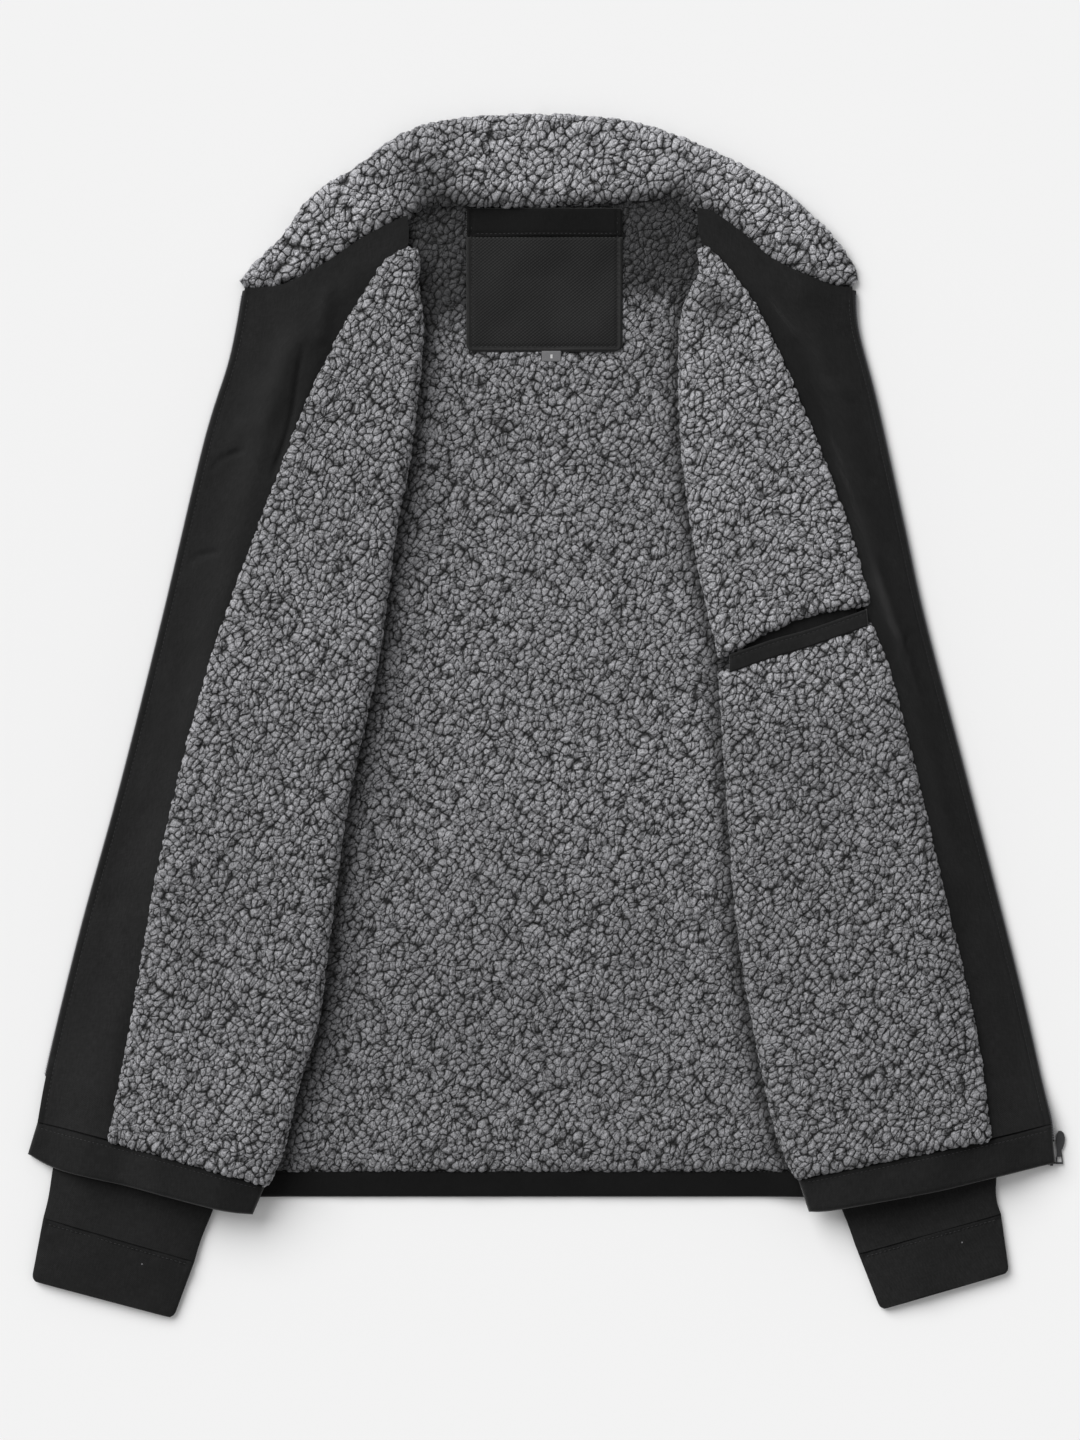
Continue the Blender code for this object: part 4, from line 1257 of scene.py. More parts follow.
WELT_FOOT = [(225, 65), (184, 50.5), (156, 42), (122, 30)]

LINING_TIPS = {
    Hand.LEFT: ([(-94, 327), (-106, 322)], [(-90.5, 323)]),
    Hand.RIGHT: ([(110.5, 328.5)], [(107, 325), (108.5, 311)]),
}

FACING_CREASES = {
    Hand.LEFT: [
        Crease((-168, 255), (-189, 172), 2.4, -2.4), Crease((-160, 262), (-180, 180), 6, 1.6),
        Crease((-180, 262), (-204, 178), 11, 1.8), Crease((-243, 168), (-213, 188), 2.6, -2.2),
        Crease((-238, 182), (-205, 206), 8, 2.6), Crease((-255, 106), (-230, 118), 2.4, -1.9),
        Crease((-178, 300), (-194, 235), 9, -3.0), Crease((-205, 296), (-212, 250), 7, 2.0),
        Crease((-132, 306), (-176, 262), 9, 1.9), Crease((-222, 210), (-236, 160), 6, -1.3),
        Crease((-150, 300), (-160, 262), 6, 2.3), Crease((-262, 40), (-282, -60), 10, 1.7),
        Crease((-300, -120), (-318, -220), 9, -1.7), Crease((-290, -180), (-305, -270), 8, 1.9),
    ],
    Hand.RIGHT: [
        Crease((233, 110), (262, 12), 4, -2.2), Crease((243, 118), (270, 22), 8, 2.4),
        Crease((228, 96), (248, 30), 7, 1.8), Crease((258, 60), (240, 32), 3, -1.6),
        Crease((180, 290), (200, 235), 8, -2.1), Crease((205, 280), (215, 225), 7, 2.3),
        Crease((150, 305), (172, 262), 7, 2.1), Crease((275, -20), (300, -120), 9, -1.9),
        Crease((300, -140), (322, -240), 9, 1.9), Crease((230, 165), (243, 128), 6, 2.5),
    ],
}


@dataclass
class FrontPanel:
    """One front, turned back on itself: shell, facing, lining round its fold, and hem band."""

    hand: Hand
    tape_in: float = 8.0
    tape_out: float = 0.7
    fold_return: float = 28.0
    seam_roll: float = 4.2
    end_roll: float = 4.5
    pitch: float = 1.3
    flat_columns: int = 112
    stitch_in: float = 4.4
    facing_margin: float = 5.0
    edge_round: float = 1.5
    tooth_pitch: float = 1.7
    tooth_size: tuple[float, float, float] = (2.3, 0.95, 1.7)
    pit: tuple[float, float] = (118.0, 287.0)

    def __post_init__(self) -> None:
        """Lays the side's curves."""
        self.outline = outline = OUTLINES[self.hand]
        self.edge = Line(outline.edge)
        self.seam = Line(outline.seam)
        self.fold = Line(outline.fold)
        self.hem = Line(outline.hem)
        self.whole_edge = Line([*outline.edge, outline.hem[0]])
        self.neck_seam = Line(NECK)
        self.creases = FACING_CREASES[self.hand]
        self.zip_stop = 0.976 if self.hand is Hand.RIGHT else 0.91

    def neck(self) -> Line:
        """The stretch of the neck seam over this front, from its zip edge inwards."""
        if self.hand is Hand.LEFT:
            points = [p for p in NECK if p[0] <= -90]
        else:
            points = [p for p in NECK if p[0] >= 104][::-1]
        return Line([(x, y - 0.4) for x, y in points])

    def hem_seam(self, above: float) -> Line:
        """The seam of the hem band, moved up by a gap."""
        outline = self.outline
        points = [outline.edge[-1], outline.seam[-1], outline.fold[-1]]
        return Line([(x, y + above) for x, y in points])

    def low(self, x: Array, y: Array, from_edge: Array) -> Array:
        """Underside of the front."""
        lift = CORNER_LIFT * soft_step((-245 - y) / 40) if self.hand is Hand.RIGHT else 0.0
        base = EDGE_CLEAR + lift
        high = back_top(x, y) + LAYER_GAP
        return base + np.maximum(high - base, 0) * soft_step(from_edge / EDGE_RAMP)

    def shell_top(self, x: Array, y: Array) -> Array:
        """Top of the front's shell, under its facing and its lining."""
        from_edge = self.whole_edge.away(x, y)
        from_neck = self.neck_seam.away(x, y, 60)
        loft = FRONT_LOFT * soft_step((from_edge - 8) / 45) * soft_step(from_neck / NECK_RAMP)
        folds = sum(crease.lift(x, y) for crease in self.creases) * soft_step((from_edge - 5) / 14)
        return self.low(x, y, from_edge) + FRONT_PLY + loft + folds

    def facing_top(self, x: Array, y: Array) -> Array:
        """Top of the facing, with its creases."""
        top = self.shell_top(x, y) + TAPE_ROOM + TWILL
        from_edge = self.whole_edge.away(x, y)
        swell = 1.1 * drift(x, y, 36, 21) + 0.4 * drift(x, y, 14, 22)
        stitched = -0.65 * np.exp(-(((from_edge - self.stitch_in) / 1.2) ** 2))
        inner = soft_step((from_edge - 6) / 20)
        return top + swell * (0.3 + 0.7 * inner) + stitched

    def build(self) -> None:
        """Builds the layers from the surface up."""
        self.build_shell()
        self.build_tape()
        self.build_facing()
        self.build_linings()
        self.build_hem()

    def build_shell(self) -> None:
        """The outer cloth and the layers folded inside it, closed all round."""
        u, v = shares(110, 40, along=(0.05, 1))
        wide = np.linalg.norm(self.fold.at(v[:, :1]) - self.edge.at(v[:, :1]), axis=-1)
        start, stop = 1.0 / wide, 1 - 17.0 / wide
        plan = patch(self.edge, self.fold, start + (stop - start) * u, v)
        foot = soft_step((v[..., None] - 0.96) / 0.04)
        seam = self.hem_seam(-0.2).at(u * 0.94)
        plan = plan * (1 - foot) + seam * foot
        x, y = plan[..., 0], plan[..., 1]
        reach = np.linalg.norm(plan - plan[:, -1:], axis=-1)
        lift = (SHERPA + LAYER_GAP * 1.3) * soft_step((54 - reach) / 10)
        low = self.low(x, y, self.whole_edge.away(x, y)) + lift
        top = np.maximum(self.shell_top(x, y) - 0.9, low + 0.8)
        skin = pillow(f"front_cloth_{self.hand.word}", plan, top, low, 1.2)
        lay(skin, TWILL_FINISH, f"front_shell_{self.hand.word}")

    def build_tape(self) -> None:
        """Half of the zip's tape, and its teeth along the edge."""
        _, v = shares(160, 5, along=(0, self.zip_stop))
        first, second = self.whole_edge.at(v), self.fold.at(v)
        way = (second - first) / np.linalg.norm(second - first, axis=-1, keepdims=True)
        aside = np.linspace(-self.tape_out, self.tape_in, 5)[None, :, None]
        plan = first + way * aside
        x, y = plan[..., 0], plan[..., 1]
        low = self.shell_top(x, y) + 0.5
        skin = pillow(f"tape_{self.hand.word}", plan, low + 0.8, low, 0.4)
        settle(skin.build(TAPE_FINISH.material()), f"zip_tape_{self.hand.word}")
        self.build_teeth()

    def build_teeth(self) -> None:
        """The zip's moulded teeth, one small bevelled block each."""
        count = int(self.whole_edge.length * self.zip_stop * 0.96 / self.tooth_pitch)
        share = np.linspace(0.006, self.zip_stop - 0.003, count)
        place, inner = self.whole_edge.at(share), self.fold.at(share)
        ahead = self.whole_edge.at(share + 0.002) - self.whole_edge.at(share - 0.002)
        z = self.shell_top(place[:, 0], place[:, 1]) + 0.9
        bm = bmesh.new()
        for k in range(count):
            out = Vector((*(place[k] - inner[k]), 0)).normalized()
            along = Vector((*ahead[k], 0)).normalized()
            centre = Vector((*place[k], z[k])) + out * (self.tape_out - 0.1)
            axes = Matrix((out, along, out.cross(along))).transposed().to_4x4()
            size = Matrix.Diagonal((*self.tooth_size, 1))
            bmesh.ops.create_cone(bm, cap_ends=True, segments=6, radius1=0.5, radius2=0.34, depth=1,
                                  matrix=Matrix.Translation(centre) @ axes @ size)
        bmesh.ops.scale(bm, vec=(MM, MM, MM), verts=bm.verts)
        bmesh.ops.recalc_face_normals(bm, faces=bm.faces)
        mesh = mesh_of(bm, f"zip_teeth_{self.hand.word}")
        settle(add_object(mesh, TEETH_FINISH.material()), None)

    def build_facing(self) -> None:
        """The facing: round the zip edge, up over the front and under the lining's edge."""
        rows = 330
        share = np.linspace(0, 1, 30)
        inner = self.seam.at(share)
        inner[:, 0] -= self.hand.value * self.facing_margin * soft_step((share - 0.035) / 0.04)
        margin = Line([tuple(point) for point in inner])
        angle = np.linspace(-math.pi / 2, math.pi / 2, 9)[:-1]
        flat = np.linspace(0, 1, 62) ** 1.15
        v = np.linspace(0, 1, rows)[:, None] + np.zeros((1, len(flat)))
        wide = np.linalg.norm(margin.at(v[:, :1]) - self.edge.at(v[:, :1]), axis=-1)
        start = self.edge_round / wide
        seam = self.hem_seam(-0.4)
        foot = Line(seam.at(np.linspace(0, self.share_at(seam, margin.at(1.0)), 24)))
        plan = patch(self.edge, margin, start + (1 - start) * flat[None, :], v, self.neck(), foot)
        x, y = plan[..., 0], plan[..., 1]
        z = self.facing_top(x, y)
        way = plan[:, 1] - plan[:, 0]
        way = way / np.linalg.norm(way, axis=-1, keepdims=True)
        centre = plan[:, :1]
        turned = centre - way[:, None] * (self.edge_round * np.cos(angle))[None, :, None]
        turned_z = z[:, :1] - self.edge_round * (1 - np.sin(angle))[None, :]
        tucked = centre + way[:, None] * np.array([5.0, 2.5])[None, :, None]
        tucked_z = np.repeat(z[:, :1] - 2 * self.edge_round, 2, axis=1)
        points = np.concatenate([
            np.concatenate([tucked, tucked_z[..., None]], -1),
            np.concatenate([turned, turned_z[..., None]], -1),
            np.concatenate([plan, z[..., None]], -1)], axis=1)
        steps = np.linalg.norm(np.diff(points, axis=1), axis=-1)
        run = np.concatenate([np.zeros((rows, 1)), np.cumsum(steps, axis=1)], axis=1)
        down = np.repeat(v[:, :1] * self.edge.length, points.shape[1], axis=1)
        skin = Skin(f"facing_cloth_{self.hand.word}", points, np.stack([run, down], -1))
        skin.out = 1.0 if float(outward(points)[:, 12:, 2].sum()) > 0 else -1.0
        lay(skin, TWILL_FINISH, f"facing_{self.hand.word}")
        self.build_facing_stitches()

    def build_facing_stitches(self) -> None:
        """The row of stitches inside the zip edge."""
        share = np.linspace(0.012, 0.985, 300)
        first, second = self.edge.at(share), self.fold.at(share)
        way = (second - first) / np.linalg.norm(second - first, axis=-1, keepdims=True)
        plan = first + way * self.stitch_in * 1.02
        row = Topstitch(f"facing_stitches_{self.hand.word}")
        row.sew((plan, self.facing_top(*plan.T) + 0.12))

    @staticmethod
    def share_at(line: Line, point: Array) -> float:
        """The share of a curve's length that is nearest to a point."""
        share = np.linspace(0, 1, 400)
        return float(share[np.argmin(np.linalg.norm(line.at(share) - point, axis=-1))])

    def build_linings(self) -> None:
        """The lining, in one piece or, where the pocket parts it, in two."""
        tip, node = LINING_TIPS[self.hand], f"front_lining_{self.hand.word}"
        seam = [*tip[0], *self.outline.seam[2:]]
        fold = [*tip[1], *self.outline.fold[1:]]
        if self.hand is Hand.LEFT:
            self.build_lining("front_sherpa_left", node, Line(seam), Line(fold))
            return
        above = Line([p for p in seam if p[1] > 90] + [POCKET_UPPER[0]])
        above_fold = Line([p for p in fold if p[1] > 50] + [POCKET_UPPER[-1]])
        self.build_lining("front_sherpa_right_upper", f"{node}_upper", above, above_fold,
                          foot=Line(POCKET_UPPER))
        below = Line([WELT_FOOT[0]] + [p for p in seam if p[1] < 60])
        below_fold = Line([WELT_FOOT[-1]] + [p for p in fold if p[1] < 25])
        self.build_lining("front_sherpa_right_lower", f"{node}_lower", below, below_fold,
                          head=Line(WELT_FOOT))

    def lining_root(self, x: Array, y: Array) -> Array:
        """Height of the pile's roots on the front."""
        swell = 0.9 * drift(x, y, 58, 14) + 0.5 * drift(x, y, 22, 15)
        return self.shell_top(x, y) + LINING_LIFT + SHERPA - PILE_SINK + swell

    def dimmed(self, x: Array, y: Array) -> Array:
        """How far the pile lies in shade: towards its foot, and in the pit at the right tip."""
        low = soft_step((60 - y) / 90)
        if self.hand is Hand.LEFT:
            return 0.14 + 0.08 * low
        pit = np.exp(-(((x - self.pit[0]) / 16) ** 2) - ((y - self.pit[1]) / 15) ** 2)
        return np.clip(0.33 * low + 0.85 * pit, 0, 1)

    def build_lining(self, name: str, node: str, first: Line, second: Line,
                     head: Line | None = None, foot: Line | None = None) -> None:
        """One lining piece, from its seam over the front, round the fold and back under it.

        Args:
            name: The piece's name.
            node: The node that it replaces.
            first: The curve of its seam with the facing.
            second: The curve of the fold.
            head: The curve of its upper end.
            foot: The curve of its lower end.
        """
        run, up, flat = rolled(second.length, self.end_roll, self.pitch)
        v = (run / second.length)[:, None]
        begin, end = first.at(v[:, 0]), second.at(v[:, 0])
        wide = np.linalg.norm(end - begin, axis=-1)
        way = (end - begin) / wide[:, None]
        radius = (self.lining_root(*end.T) + 0.3 - back_top(*end.T) - LAYER_GAP) / 2
        radius = np.minimum(radius, wide * FOLD_SHARE)
        reach = np.minimum(self.fold_return, wide * 0.5)[:, None]
        back = np.array([0.25, 0.6, 1.0])[None, :] * reach
        hook = Hook(wide, radius, self.seam_roll, self.flat_columns, 21, back)
        at, on = hook.at, hook.on
        share = np.clip(at / wide[:, None], 0, 1)
        past = at - share * wide[:, None]
        plan = patch(first, second, share, v + 0 * share, head, foot)
        plan = plan + way[:, None] * past[..., None]
        x, y = plan[..., 0], plan[..., 1]
        top = self.lining_root(x, y)
        crown = top[:, hook.hinge:hook.hinge + 1]
        z = hook.fold_down(top, crown - 2 * radius[:, None], lift=0.6)
        middle = crown - radius[:, None]
        z = middle + (z - middle) * up[:, None]
        slide = (run - flat)[:, None, None]
        along = second.at(np.clip(v + 0.004, 0, 1)) - second.at(np.clip(v - 0.004, 0, 1))
        along = along / np.linalg.norm(along, axis=-1, keepdims=True)
        spread = begin[:, None] + way[:, None] * on[..., None] - along * slide
        skin = Skin(name, np.concatenate([plan, z[..., None]], -1), spread)
        stand = np.ones(at.shape)
        stand[:, -hook.back_columns:] = 0.3
        # Painted shade, as dimmed gives it: a little all over, more towards the foot, and in the
        # pit at the right tip
        skin.values["painted_shade"] = self.dimmed(x, y)
        skin.raise_pile(SHERPA_PILE, stand)
        lay(skin, SHERPA_FINISH, node)

    def build_hem(self) -> None:
        """The hem band: turned cloth as thick as the layers that it closes, with its stitching."""
        upper, lower = self.hem_seam(-0.5), self.hem
        plan = patch(upper, lower, *shares(130, 24))
        x, y = plan[..., 0], plan[..., 1]
        top = self.band_top(x, y)
        low = self.low(x, y, self.whole_edge.away(x, y))
        skin = pillow(f"hem_cloth_{self.hand.word}", plan, top, low, 3.2)
        lay(skin, TWILL_FINISH, f"hem_band_{self.hand.word}")
        share = np.linspace(0.02, 0.97, 120)
        path = upper.at(share) * 0.84 + lower.at(share) * 0.16
        row = Topstitch(f"hem_stitches_{self.hand.word}")
        row.sew((path, self.band_top(*path.T) + 0.15))

    def band_top(self, x: Array, y: Array) -> Array:
        """Top of the hem band."""
        swell = 0.9 * drift(x, y, 30, 25) + 0.5 * drift(x, y, 11, 26)
        seam_away = self.hem_seam(-0.5).away(x, y)
        stitched = -0.7 * np.exp(-(((seam_away - 3.6) / 1.2) ** 2))
        return self.shell_top(x, y) + TAPE_ROOM + TWILL + 0.5 + swell + stitched


# ---------------------------------------------------------------- collar, patch, pocket


@dataclass
class Collar:
    """The collar, turned over at its roll, with pile all round and plain cloth inside."""

    seam_high: float = 13.0
    roll_high: float = 15.0
    low: float = 1.4
    back_reach: float = 34.0
    seam_roll: float = 4.4
    full_width: float = 34.0
    pitch: float = 1.15

    def build(self) -> None:
        """Builds the sherpa collar."""
        neck, roll = Line(NECK), Line(COLLAR)
        rows = int(roll.length / self.pitch)
        v = np.linspace(0, 1, rows)
        begin, end = neck.at(v), roll.at(v)
        wide = np.linalg.norm(end - begin, axis=-1)
        way = (end - begin) / wide[:, None]
        size = np.clip(wide / self.full_width, 0, 1)
        high = np.maximum(self.roll_high * size, 5.0) - 1.2
        seam_high = np.minimum(self.seam_high, high)
        radius = np.minimum(high / 2, wide * FOLD_SHARE)
        reach = np.minimum(self.back_reach, np.maximum(wide - radius - 3, 0.5))
        back = np.linspace(0, 1, 7)[None, 1:] * reach[:, None]
        hook = Hook(wide, radius, self.seam_roll, 52, 18, back)
        at, on = hook.at, hook.on
        plan = begin[:, None] + way[:, None] * at[..., None]
        out = np.clip(at / wide[:, None], 0, 1)
        top = seam_high[:, None] + (high - seam_high)[:, None] * soft_step(out * 2)
        swell = 0.8 * drift(plan[..., 0], plan[..., 1], 44, 51)
        z = hook.fold_down(top + swell * np.minimum(size[:, None], 1), self.low, drop=1.6)
        spread = begin[:, None] + way[:, None] * on[..., None]
        skin = Skin("collar_sherpa_cloth", np.concatenate([plan, z[..., None]], -1), spread)
        stand = np.full(at.shape, 1.0)
        stand[:, -hook.back_columns:] = 0.35
        stand = stand * np.clip(wide / 16, 0.45, 1)[:, None]
        # Painted shade along the neck seam and in the folds at the collar's turns
        skin.values["painted_shade"] = self.shade(plan[..., 0], plan[..., 1], at)
        skin.raise_pile(COLLAR_PILE, stand)
        lay(skin, COLLAR_FINISH, "collar")
        self.build_inside(neck, roll)

    @staticmethod
    def shade(x: Array, y: Array, at: Array) -> Array:
        """How far the pile lies in shade: along the neck seam, and in the folds at its turns.

        Args:
            x: Places across.
            y: Places along.
            at: Distance from the neck seam.

        Returns:
            Shade from 0 to 1.
        """
        seam = 0.6 * np.exp(-((at / 9) ** 2))
        folds = sum(0.45 * np.exp(-(((x - a) ** 2 + (y - b) ** 2) / c**2))
                    for a, b, c in ((-92, 378, 22), (-70, 371, 20), (96, 372, 18)))
        return np.clip(seam + folds, 0, 1)

    def build_inside(self, neck: Line, roll: Line) -> None:
        """The plain cloth inside the collar.

        Args:
            neck: The neck seam.
            roll: The collar's roll.
        """
        plan = patch(neck, roll, *shares(120, 14, (0.12, 0.5), (0.24, 0.76)))
        low = np.full(plan.shape[:2], 4.6)
        skin = pillow("collar_inner_cloth", plan, low + 3.0, low, 0.8)
        lay(skin, TWILL_FINISH, "under_collar")


@dataclass
class HangerPatch:
    """The patch at the back of the neck: a plain band over a bound mesh panel, and a size tab."""

    low: float = BACK_HIGH + 0.4
    corner: float = 5.0
    bound: float = 3.6

    def build(self) -> None:
        """Builds the band, the panel, the tab and the stitches."""
        self.build_plate("patch_cloth_band", "patch_band", PATCH_CROSS + SEAM_GAP, PATCH_TOP - 1,
                         TWILL_FINISH, False)
        self.build_plate("patch_mesh", "hanger_patch", PATCH_FOOT, PATCH_CROSS,
                         MESH_FINISH, True)
        self.build_tab()
        left, right = PATCH_X - PATCH_HALF + self.bound, PATCH_X + PATCH_HALF - self.bound
        head, foot, cross = PATCH_TOP - 4, PATCH_FOOT + self.bound, PATCH_CROSS + 2.6
        paths = [np.linspace(start, stop, 30) for start, stop in (
            ((left, head), (left, foot)), ((left, foot), (right, foot)),
            ((right, foot), (right, head)), ((left, cross), (right, cross)))]
        Topstitch("patch_stitches").sew(*((path, self.top(*path.T) + 0.1) for path in paths))

    def top(self, x: Array, y: Array) -> Array:
        """Top of the patch, with its bound edge and a soft lie."""
        aside = PATCH_HALF - np.abs(x - PATCH_X)
        inner = np.minimum(aside, y - PATCH_FOOT)
        groove = -0.9 * np.exp(-(((inner - self.bound) / 1.1) ** 2))
        cross = -0.8 * np.exp(-(((y - PATCH_CROSS - 2.6) / 1.0) ** 2))
        swell = 3.0 * drift(x, y, 38, 61) + 1.0 * drift(x, y, 17, 62)
        swell = swell + 1.6 * np.exp(-((x - PATCH_X) / 34) ** 2) * soft_step(inner / 14)
        pucker = 0.3 * np.sin((x + y) * TURN / 4.6 + 2 * drift(x, y, 11, 63))
        pucker = pucker * np.exp(-((inner / 5) ** 2))
        bound = 0.7 * soft_step((self.bound - inner) / 1.0) + pucker
        return self.low + TWILL + 0.5 + groove + cross + swell + bound

    def build_plate(self, name: str, node: str, foot: float, head: float, finish: Finish,
                    rounded: bool) -> None:
        """One flat part of the patch.

        Args:
            name: The piece's name.
            node: The node that it replaces.
            foot: Y of its lower edge.
            head: Y of its upper edge.
            finish: Its finish.
            rounded: Whether its lower corners are rounded.
        """
        rows = max(int((head - foot) / 1.1), 12)
        u, v = shares(rows, 100, (-1, 1), (1, 0))
        y = foot + (head - foot) * v
        half = np.full_like(y, PATCH_HALF)
        if rounded:
            near = np.clip((foot + self.corner - y) / self.corner, 0, 1)
            half = half - self.corner * (1 - np.sqrt(np.clip(1 - near**2, 0, 1)))
        x = PATCH_X + u * half
        low = np.full_like(x, self.low - 0.6)
        skin = pillow(name, np.stack([x, y], -1), self.top(x, y), low, 0.9)
        x, y = skin.points[..., 0], skin.points[..., 1]
        inner = np.minimum(PATCH_HALF - np.abs(x - PATCH_X), y - PATCH_FOOT)
        # Painted shade on the plain band, which lies low under the collar's edge; none on the mesh
        # panel
        skin.values["painted_shade"] = np.full(x.shape, 0.0 if rounded else 0.7)
        skin.values["bound"] = soft_step((self.bound - inner) / 0.6)
        lay(skin, finish, node)

    def build_tab(self) -> None:
        """The size tab, folded under the patch's lower edge, with a plain woven bar."""
        centre, wide, deep, head = 3.5, 13.6, 7.0, PATCH_FOOT + 0.6
        u, v = shares(16, 28, across=(-0.5, 0.5))
        x, y = centre + u * wide, head - v * (deep + 0.6)
        top = self.low + 2.0 - 0.5 * v
        skin = pillow("tab_cloth", np.stack([x, y], -1), top, top - 0.9, 0.4)
        lay(skin, TAB_FINISH, "size_tab")
        bar = pillow("tab_bar", np.stack([centre + u * 1.6, head - 2.6 - v * 2.8], -1),
                     top + 0.14, top - 0.1, 0.2)
        settle(bar.build(BAR_FINISH.material()), None)


@dataclass
class InsidePocket:
    """The inside pocket in the right front: its welt, and the bag in its mouth."""

    front: FrontPanel

    def build(self) -> None:
        """Builds the welt, its stitches and the bag."""
        top_line, foot_line = Line(WELT_TOP), Line(WELT_FOOT)
        u, v = shares(90, 16, (-0.02, 1.06), (0.01, 0.95))
        plan = patch(top_line, foot_line, u, v)
        x, y = plan[..., 0], plan[..., 1]
        top = self.welt_top(x, y) - 0.5 * np.exp(-(((u - 0.22) / 0.08) ** 2))
        skin = pillow("pocket_welt_cloth", plan, top, top - 2.6, 1.3)
        lay(skin, TWILL_FINISH, "pocket_welt")
        share = np.linspace(0.04, 0.93, 60)
        path = top_line.at(share) * 0.78 + foot_line.at(share) * 0.22
        Topstitch("welt_stitches").sew((path, self.welt_top(*path.T) - 0.3))
        self.build_bag()

    def welt_top(self, x: Array, y: Array) -> Array:
        """Top of the welt."""
        return self.front.shell_top(x, y) + LINING_LIFT + SHERPA - 0.4 + 0.4 * drift(x, y, 18, 71)

    def build_bag(self) -> None:
        """The pocket's bag, dark in its mouth."""
        head = Line([(x, y + 9) for x, y in POCKET_UPPER])
        foot = Line([(x, y - 2) for x, y in WELT_FOOT])
        plan = patch(head, foot, *shares(40, 14, along=(0.08, 0.83)))
        x, y = plan[..., 0], plan[..., 1]
        low = self.front.shell_top(x, y) + 0.6
        skin = pillow("pocket_bag_cloth", plan, low + 0.9, low, 0.5)
        lay(skin, TWILL_FINISH, "pocket_bag")


# ---------------------------------------------------------------- sleeves


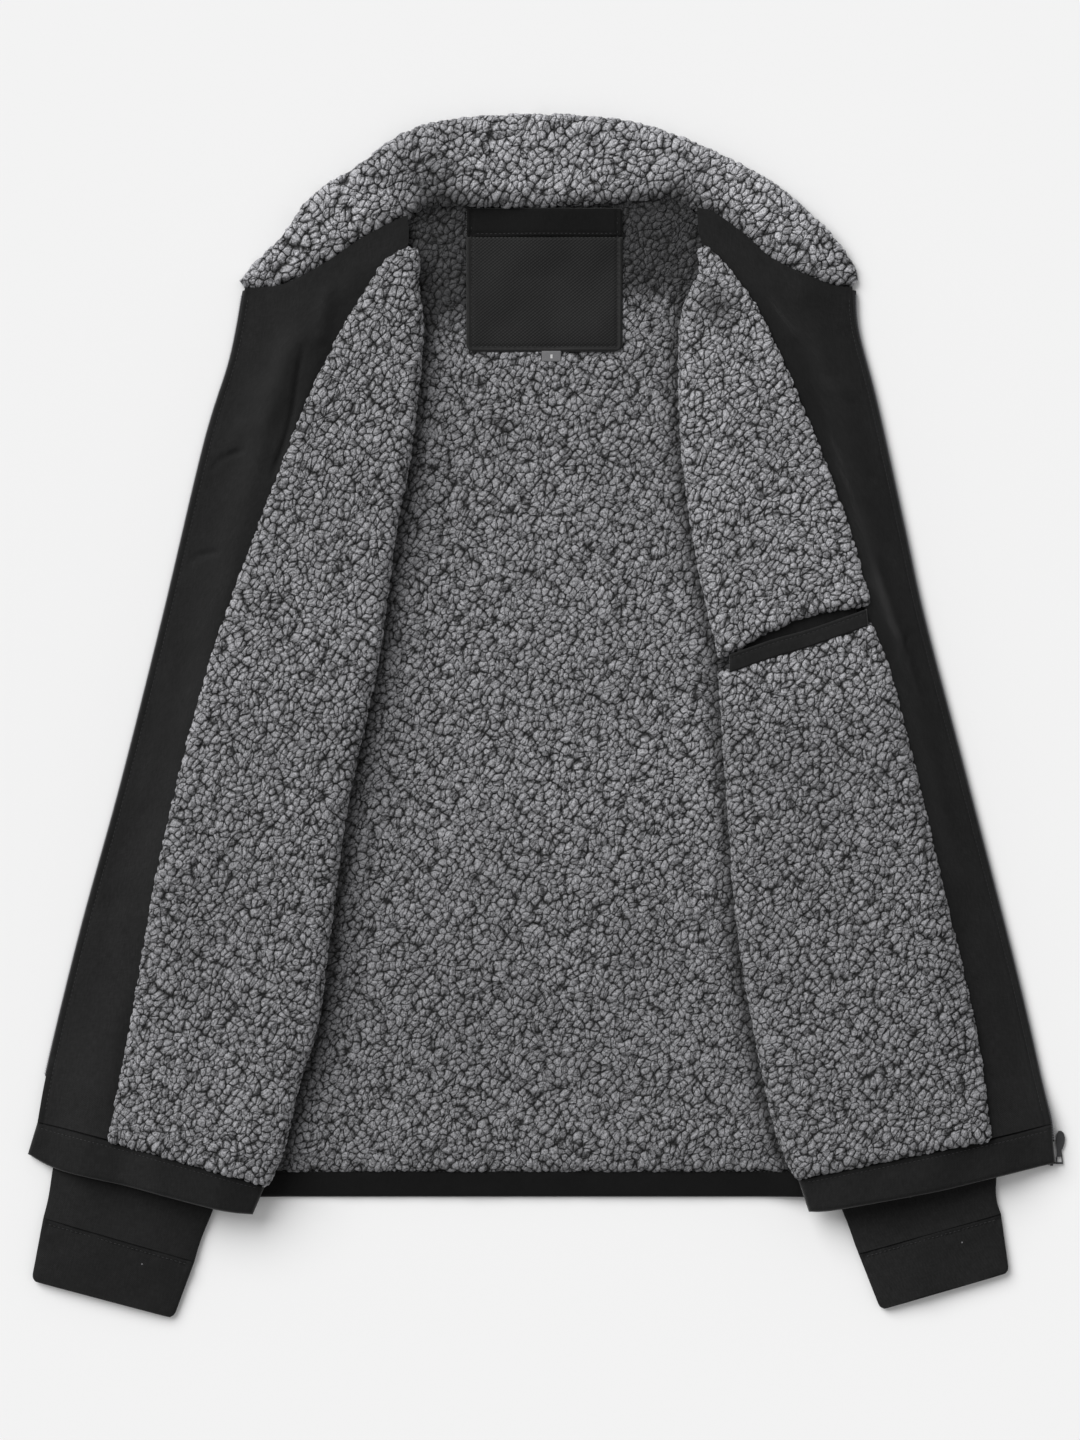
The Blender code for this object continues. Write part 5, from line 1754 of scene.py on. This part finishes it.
@dataclass
class Sleeve:
    """One sleeve folded under the body, and its cuff, a flat tube open at the wrist."""

    hand: Hand
    cuff_high: float = 7.5
    cuff_wall: float = 2.4
    cuff_rows: int = 34
    inner_rows: int = 26
    seam_share: float = 0.075
    crown: float = 8.0

    def __post_init__(self) -> None:
        """Lays the sleeve's middle line and widths, and the cuff's."""
        self.rows = np.array(SLEEVES[self.hand], float)
        corners = {
            Hand.LEFT: ((-352.0, -349.5), (-246.2, -380.0), (-360.2, -393.0), (-260.8, -419.4)),
            Hand.RIGHT: ((218.2, -374.6), (317.8, -346.6), (233.5, -413.6), (323.6, -387.4)),
        }[self.hand]
        self.corners = np.array(corners)

    def ring(self, centre: Array, side: Array, half: Array, low: Array, high: Array,
             columns: int = 72) -> tuple[Array, Array]:
        """Flat rings across the sleeve.

        Args:
            centre: Plan points of the middle line, rows by two.
            side: Unit vectors across it.
            half: Half widths.
            low: Heights of the underside.
            high: Heights of the top.
            columns: Points round each ring.

        Returns:
            The points, and the places on the unrolled cloth.
        """
        turn = np.linspace(0, TURN, columns)[None, :]
        out = np.sign(np.cos(turn)) * np.abs(np.cos(turn)) ** 0.55
        up = np.sign(np.sin(turn)) * np.abs(np.sin(turn)) ** 0.75
        plan = centre[:, None] + side[:, None] * (out * half[:, None])[..., None]
        middle = ((high + low) / 2)[:, None]
        z = middle + up * ((high - low) / 2)[:, None]
        steps = np.linalg.norm(np.diff(centre, axis=0), axis=1)
        run = np.concatenate([[0.0], np.cumsum(steps)])[:, None]
        spread = np.stack([out * half[:, None] + 140 * (up < 0), run + 0 * out], -1)
        return np.concatenate([plan, z[..., None]], -1), spread

    def build(self) -> None:
        """Builds the sleeve, the cuff and the cuff's stitches."""
        first, last = self.corners[:2]
        wrist = (first + last) / 2
        line = Line([*(tuple(row[:2]) for row in self.rows[:-1]), tuple(wrist)])
        share = np.linspace(0, 1, 200)
        centre = line.at(share)
        half = np.interp(-centre[:, 1], -self.rows[:, 1], self.rows[:, 2])
        cross = last - first
        close = soft_step((centre[:, 1] - wrist[1] - 34) / -34)
        half = half * (1 - close) + np.linalg.norm(cross) / 2 * close
        way = np.gradient(centre, axis=0)
        side = np.stack([-way[:, 1], way[:, 0]], -1)
        side = side / np.linalg.norm(side, axis=-1, keepdims=True)
        side = side * (1 - close[:, None]) + cross / np.linalg.norm(cross) * close[:, None]
        ends = np.minimum(1, share * 60 + 0.02) ** 0.5
        low, high = 0.3 * (1 - ends), 1.0 + (self.crown - 1.0) * ends
        points, spread = self.ring(centre, side, half, low, high)
        x, y, z = np.moveaxis(points, -1, 0)
        waves = 0.9 * drift(x * 1.6, y, 26, 91) + 0.4 * drift(x, y, 10, 92)
        points[..., 2] += np.where(z > self.crown / 2, waves * ends[:, None] * 0.5, 0)
        skin = Skin(f"sleeve_cloth_{self.hand.word}", points, spread, Form.TUBE)
        lay(skin, TWILL_FINISH, f"sleeve_{self.hand.word}")
        self.build_cuff()

    def build_cuff(self) -> None:
        """The cuff: its outer cloth turned in at the wrist, its stitched seam, and its open inside.
        """
        first, last, low_first, low_last = self.corners
        outside = np.linspace(0, 1, self.cuff_rows)
        inside = outside[::-1][:self.inner_rows]
        lip = np.linspace(0, math.pi, 7)[1:-1]
        share = np.concatenate([outside, 1 + 0.012 * np.sin(lip), inside])[:, None]
        depth = np.concatenate([np.zeros_like(outside), self.cuff_wall * (1 - np.cos(lip)) / 2,
                                np.full_like(inside, self.cuff_wall)])
        left = first + (low_first - first) * share
        right = last + (low_last - last) * share
        cross = right - left
        wide = np.linalg.norm(cross, axis=1)
        near_end = np.clip((np.minimum(share[:, 0], 1) - 0.88) / 0.12, 0, 1)
        corner = 2.2 * (1 - np.sqrt(1 - near_end**2))
        centre, half, side = (left + right) / 2, wide / 2 - depth - corner, cross / wide[:, None]
        points, spread = self.ring(centre, side, half, depth, self.cuff_high - depth * 0.8)
        outer = (depth == 0)[:, None]
        top = points[..., 2] > self.cuff_high / 2
        seam = (-0.9 * np.exp(-(((share - self.seam_share) / 0.03) ** 2))
                - 1.2 * np.exp(-((share / 0.02) ** 2)))
        x, y = points[..., 0], points[..., 1]
        lie = 0.9 * drift(x, y, 24, 95) + 0.5 * drift(x, y, 9, 96)
        pucker = 0.5 * np.sin((x - 0.3 * y) * TURN / 6.5)
        lie = lie + pucker * np.exp(-(((share - 0.1) / 0.12) ** 2))
        points[..., 2] += np.where(top & outer, seam + lie, 0)
        skin = Skin(f"cuff_cloth_{self.hand.word}", points, spread, Form.TUBE)
        skin.out = side_out(points[:self.cuff_rows], Form.TUBE)
        lay(skin, CUFF_FINISH, f"cuff_{self.hand.word}")
        self.build_stitches()

    def build_stitches(self) -> None:
        """The row of stitches beside the cuff's seam."""
        first, last, low_first, low_last = self.corners
        left = first + (low_first - first) * self.seam_share
        right = last + (low_last - last) * self.seam_share
        path = left + (right - left) * np.linspace(0.04, 0.96, 60)[:, None]
        z = self.cuff_high + 0.9 * drift(*path.T, 24, 95) - 0.2
        Topstitch(f"cuff_stitches_{self.hand.word}").sew((path, z))


# ---------------------------------------------------------------- studio


@dataclass
class Studio:
    """The pale floor, the soft light and the camera straight above."""

    centre: tuple[float, float] = (-4.55, -1.4)
    view_high: float = 1008.0
    distance: float = 5600.0
    floor_tone: float = 0.9
    world: float = 0.44
    light_way: tuple[float, float, float] = (-0.66, 0.7, 0.86)
    light_angle: float = 0.8
    light_power: float = 2.62

    def build(self) -> None:
        """Sets up the floor, the light and the camera."""
        bm = bmesh.new()
        bmesh.ops.create_grid(bm, x_segments=1, y_segments=1, size=4.0)
        graph = Surface("pale_floor")
        graph.shade({"Base Color": (*grey(self.floor_tone), 1), "Roughness": 0.95,
                     "Specular IOR Level": 0.0})
        add_object(mesh_of(bm, "floor"), graph.material)
        world = bpy.data.worlds.new("studio")
        bpy.context.scene.world = world
        world.use_nodes = True
        sky = world.node_tree.nodes["Background"]
        sky.inputs["Color"].default_value = (1, 1, 1, 1)
        sky.inputs["Strength"].default_value = self.world
        self.add_light()
        self.add_camera()
        bpy.context.scene.view_settings.view_transform = "Standard"

    def add_light(self) -> None:
        """Adds a broad, even light from far off."""
        data = bpy.data.lights.new("key", "SUN")
        data.angle = self.light_angle
        data.energy = self.light_power
        light = bpy.data.objects.new("key", data)
        light.rotation_euler = (-Vector(self.light_way)).to_track_quat("-Z", "Y").to_euler()
        bpy.context.scene.collection.objects.link(light)

    def add_camera(self) -> None:
        """Adds the camera, straight above with a long lens."""
        data = bpy.data.cameras.new("camera")
        data.sensor_width = 36.0
        data.lens = data.sensor_width * self.distance / self.view_high
        data.clip_end = 100
        camera = bpy.data.objects.new("camera", data)
        camera.location = (self.centre[0] * MM, self.centre[1] * MM, self.distance * MM)
        bpy.context.scene.collection.objects.link(camera)
        bpy.context.scene.camera = camera


def dress_metal() -> None:
    """Gives the slider and the pull their finish."""
    for node in ("zip_slider", "zip_pull"):
        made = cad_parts[node]
        made.data.materials.clear()
        made.data.materials.append(METAL_FINISH.material())
        log.info("%s: dressed", node)


def main() -> None:
    """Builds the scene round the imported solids."""
    logging.basicConfig(level=logging.INFO, format="%(name)s %(message)s")
    Studio().build()
    BackPanel().build()
    for hand in Hand:
        Sleeve(hand).build()
    fronts = {hand: FrontPanel(hand) for hand in Hand}
    for front in fronts.values():
        front.build()
    InsidePocket(fronts[Hand.RIGHT]).build()
    HangerPatch().build()
    Collar().build()
    dress_metal()
    bpy.context.view_layer.update()


if __name__ == "__main__":
    main()
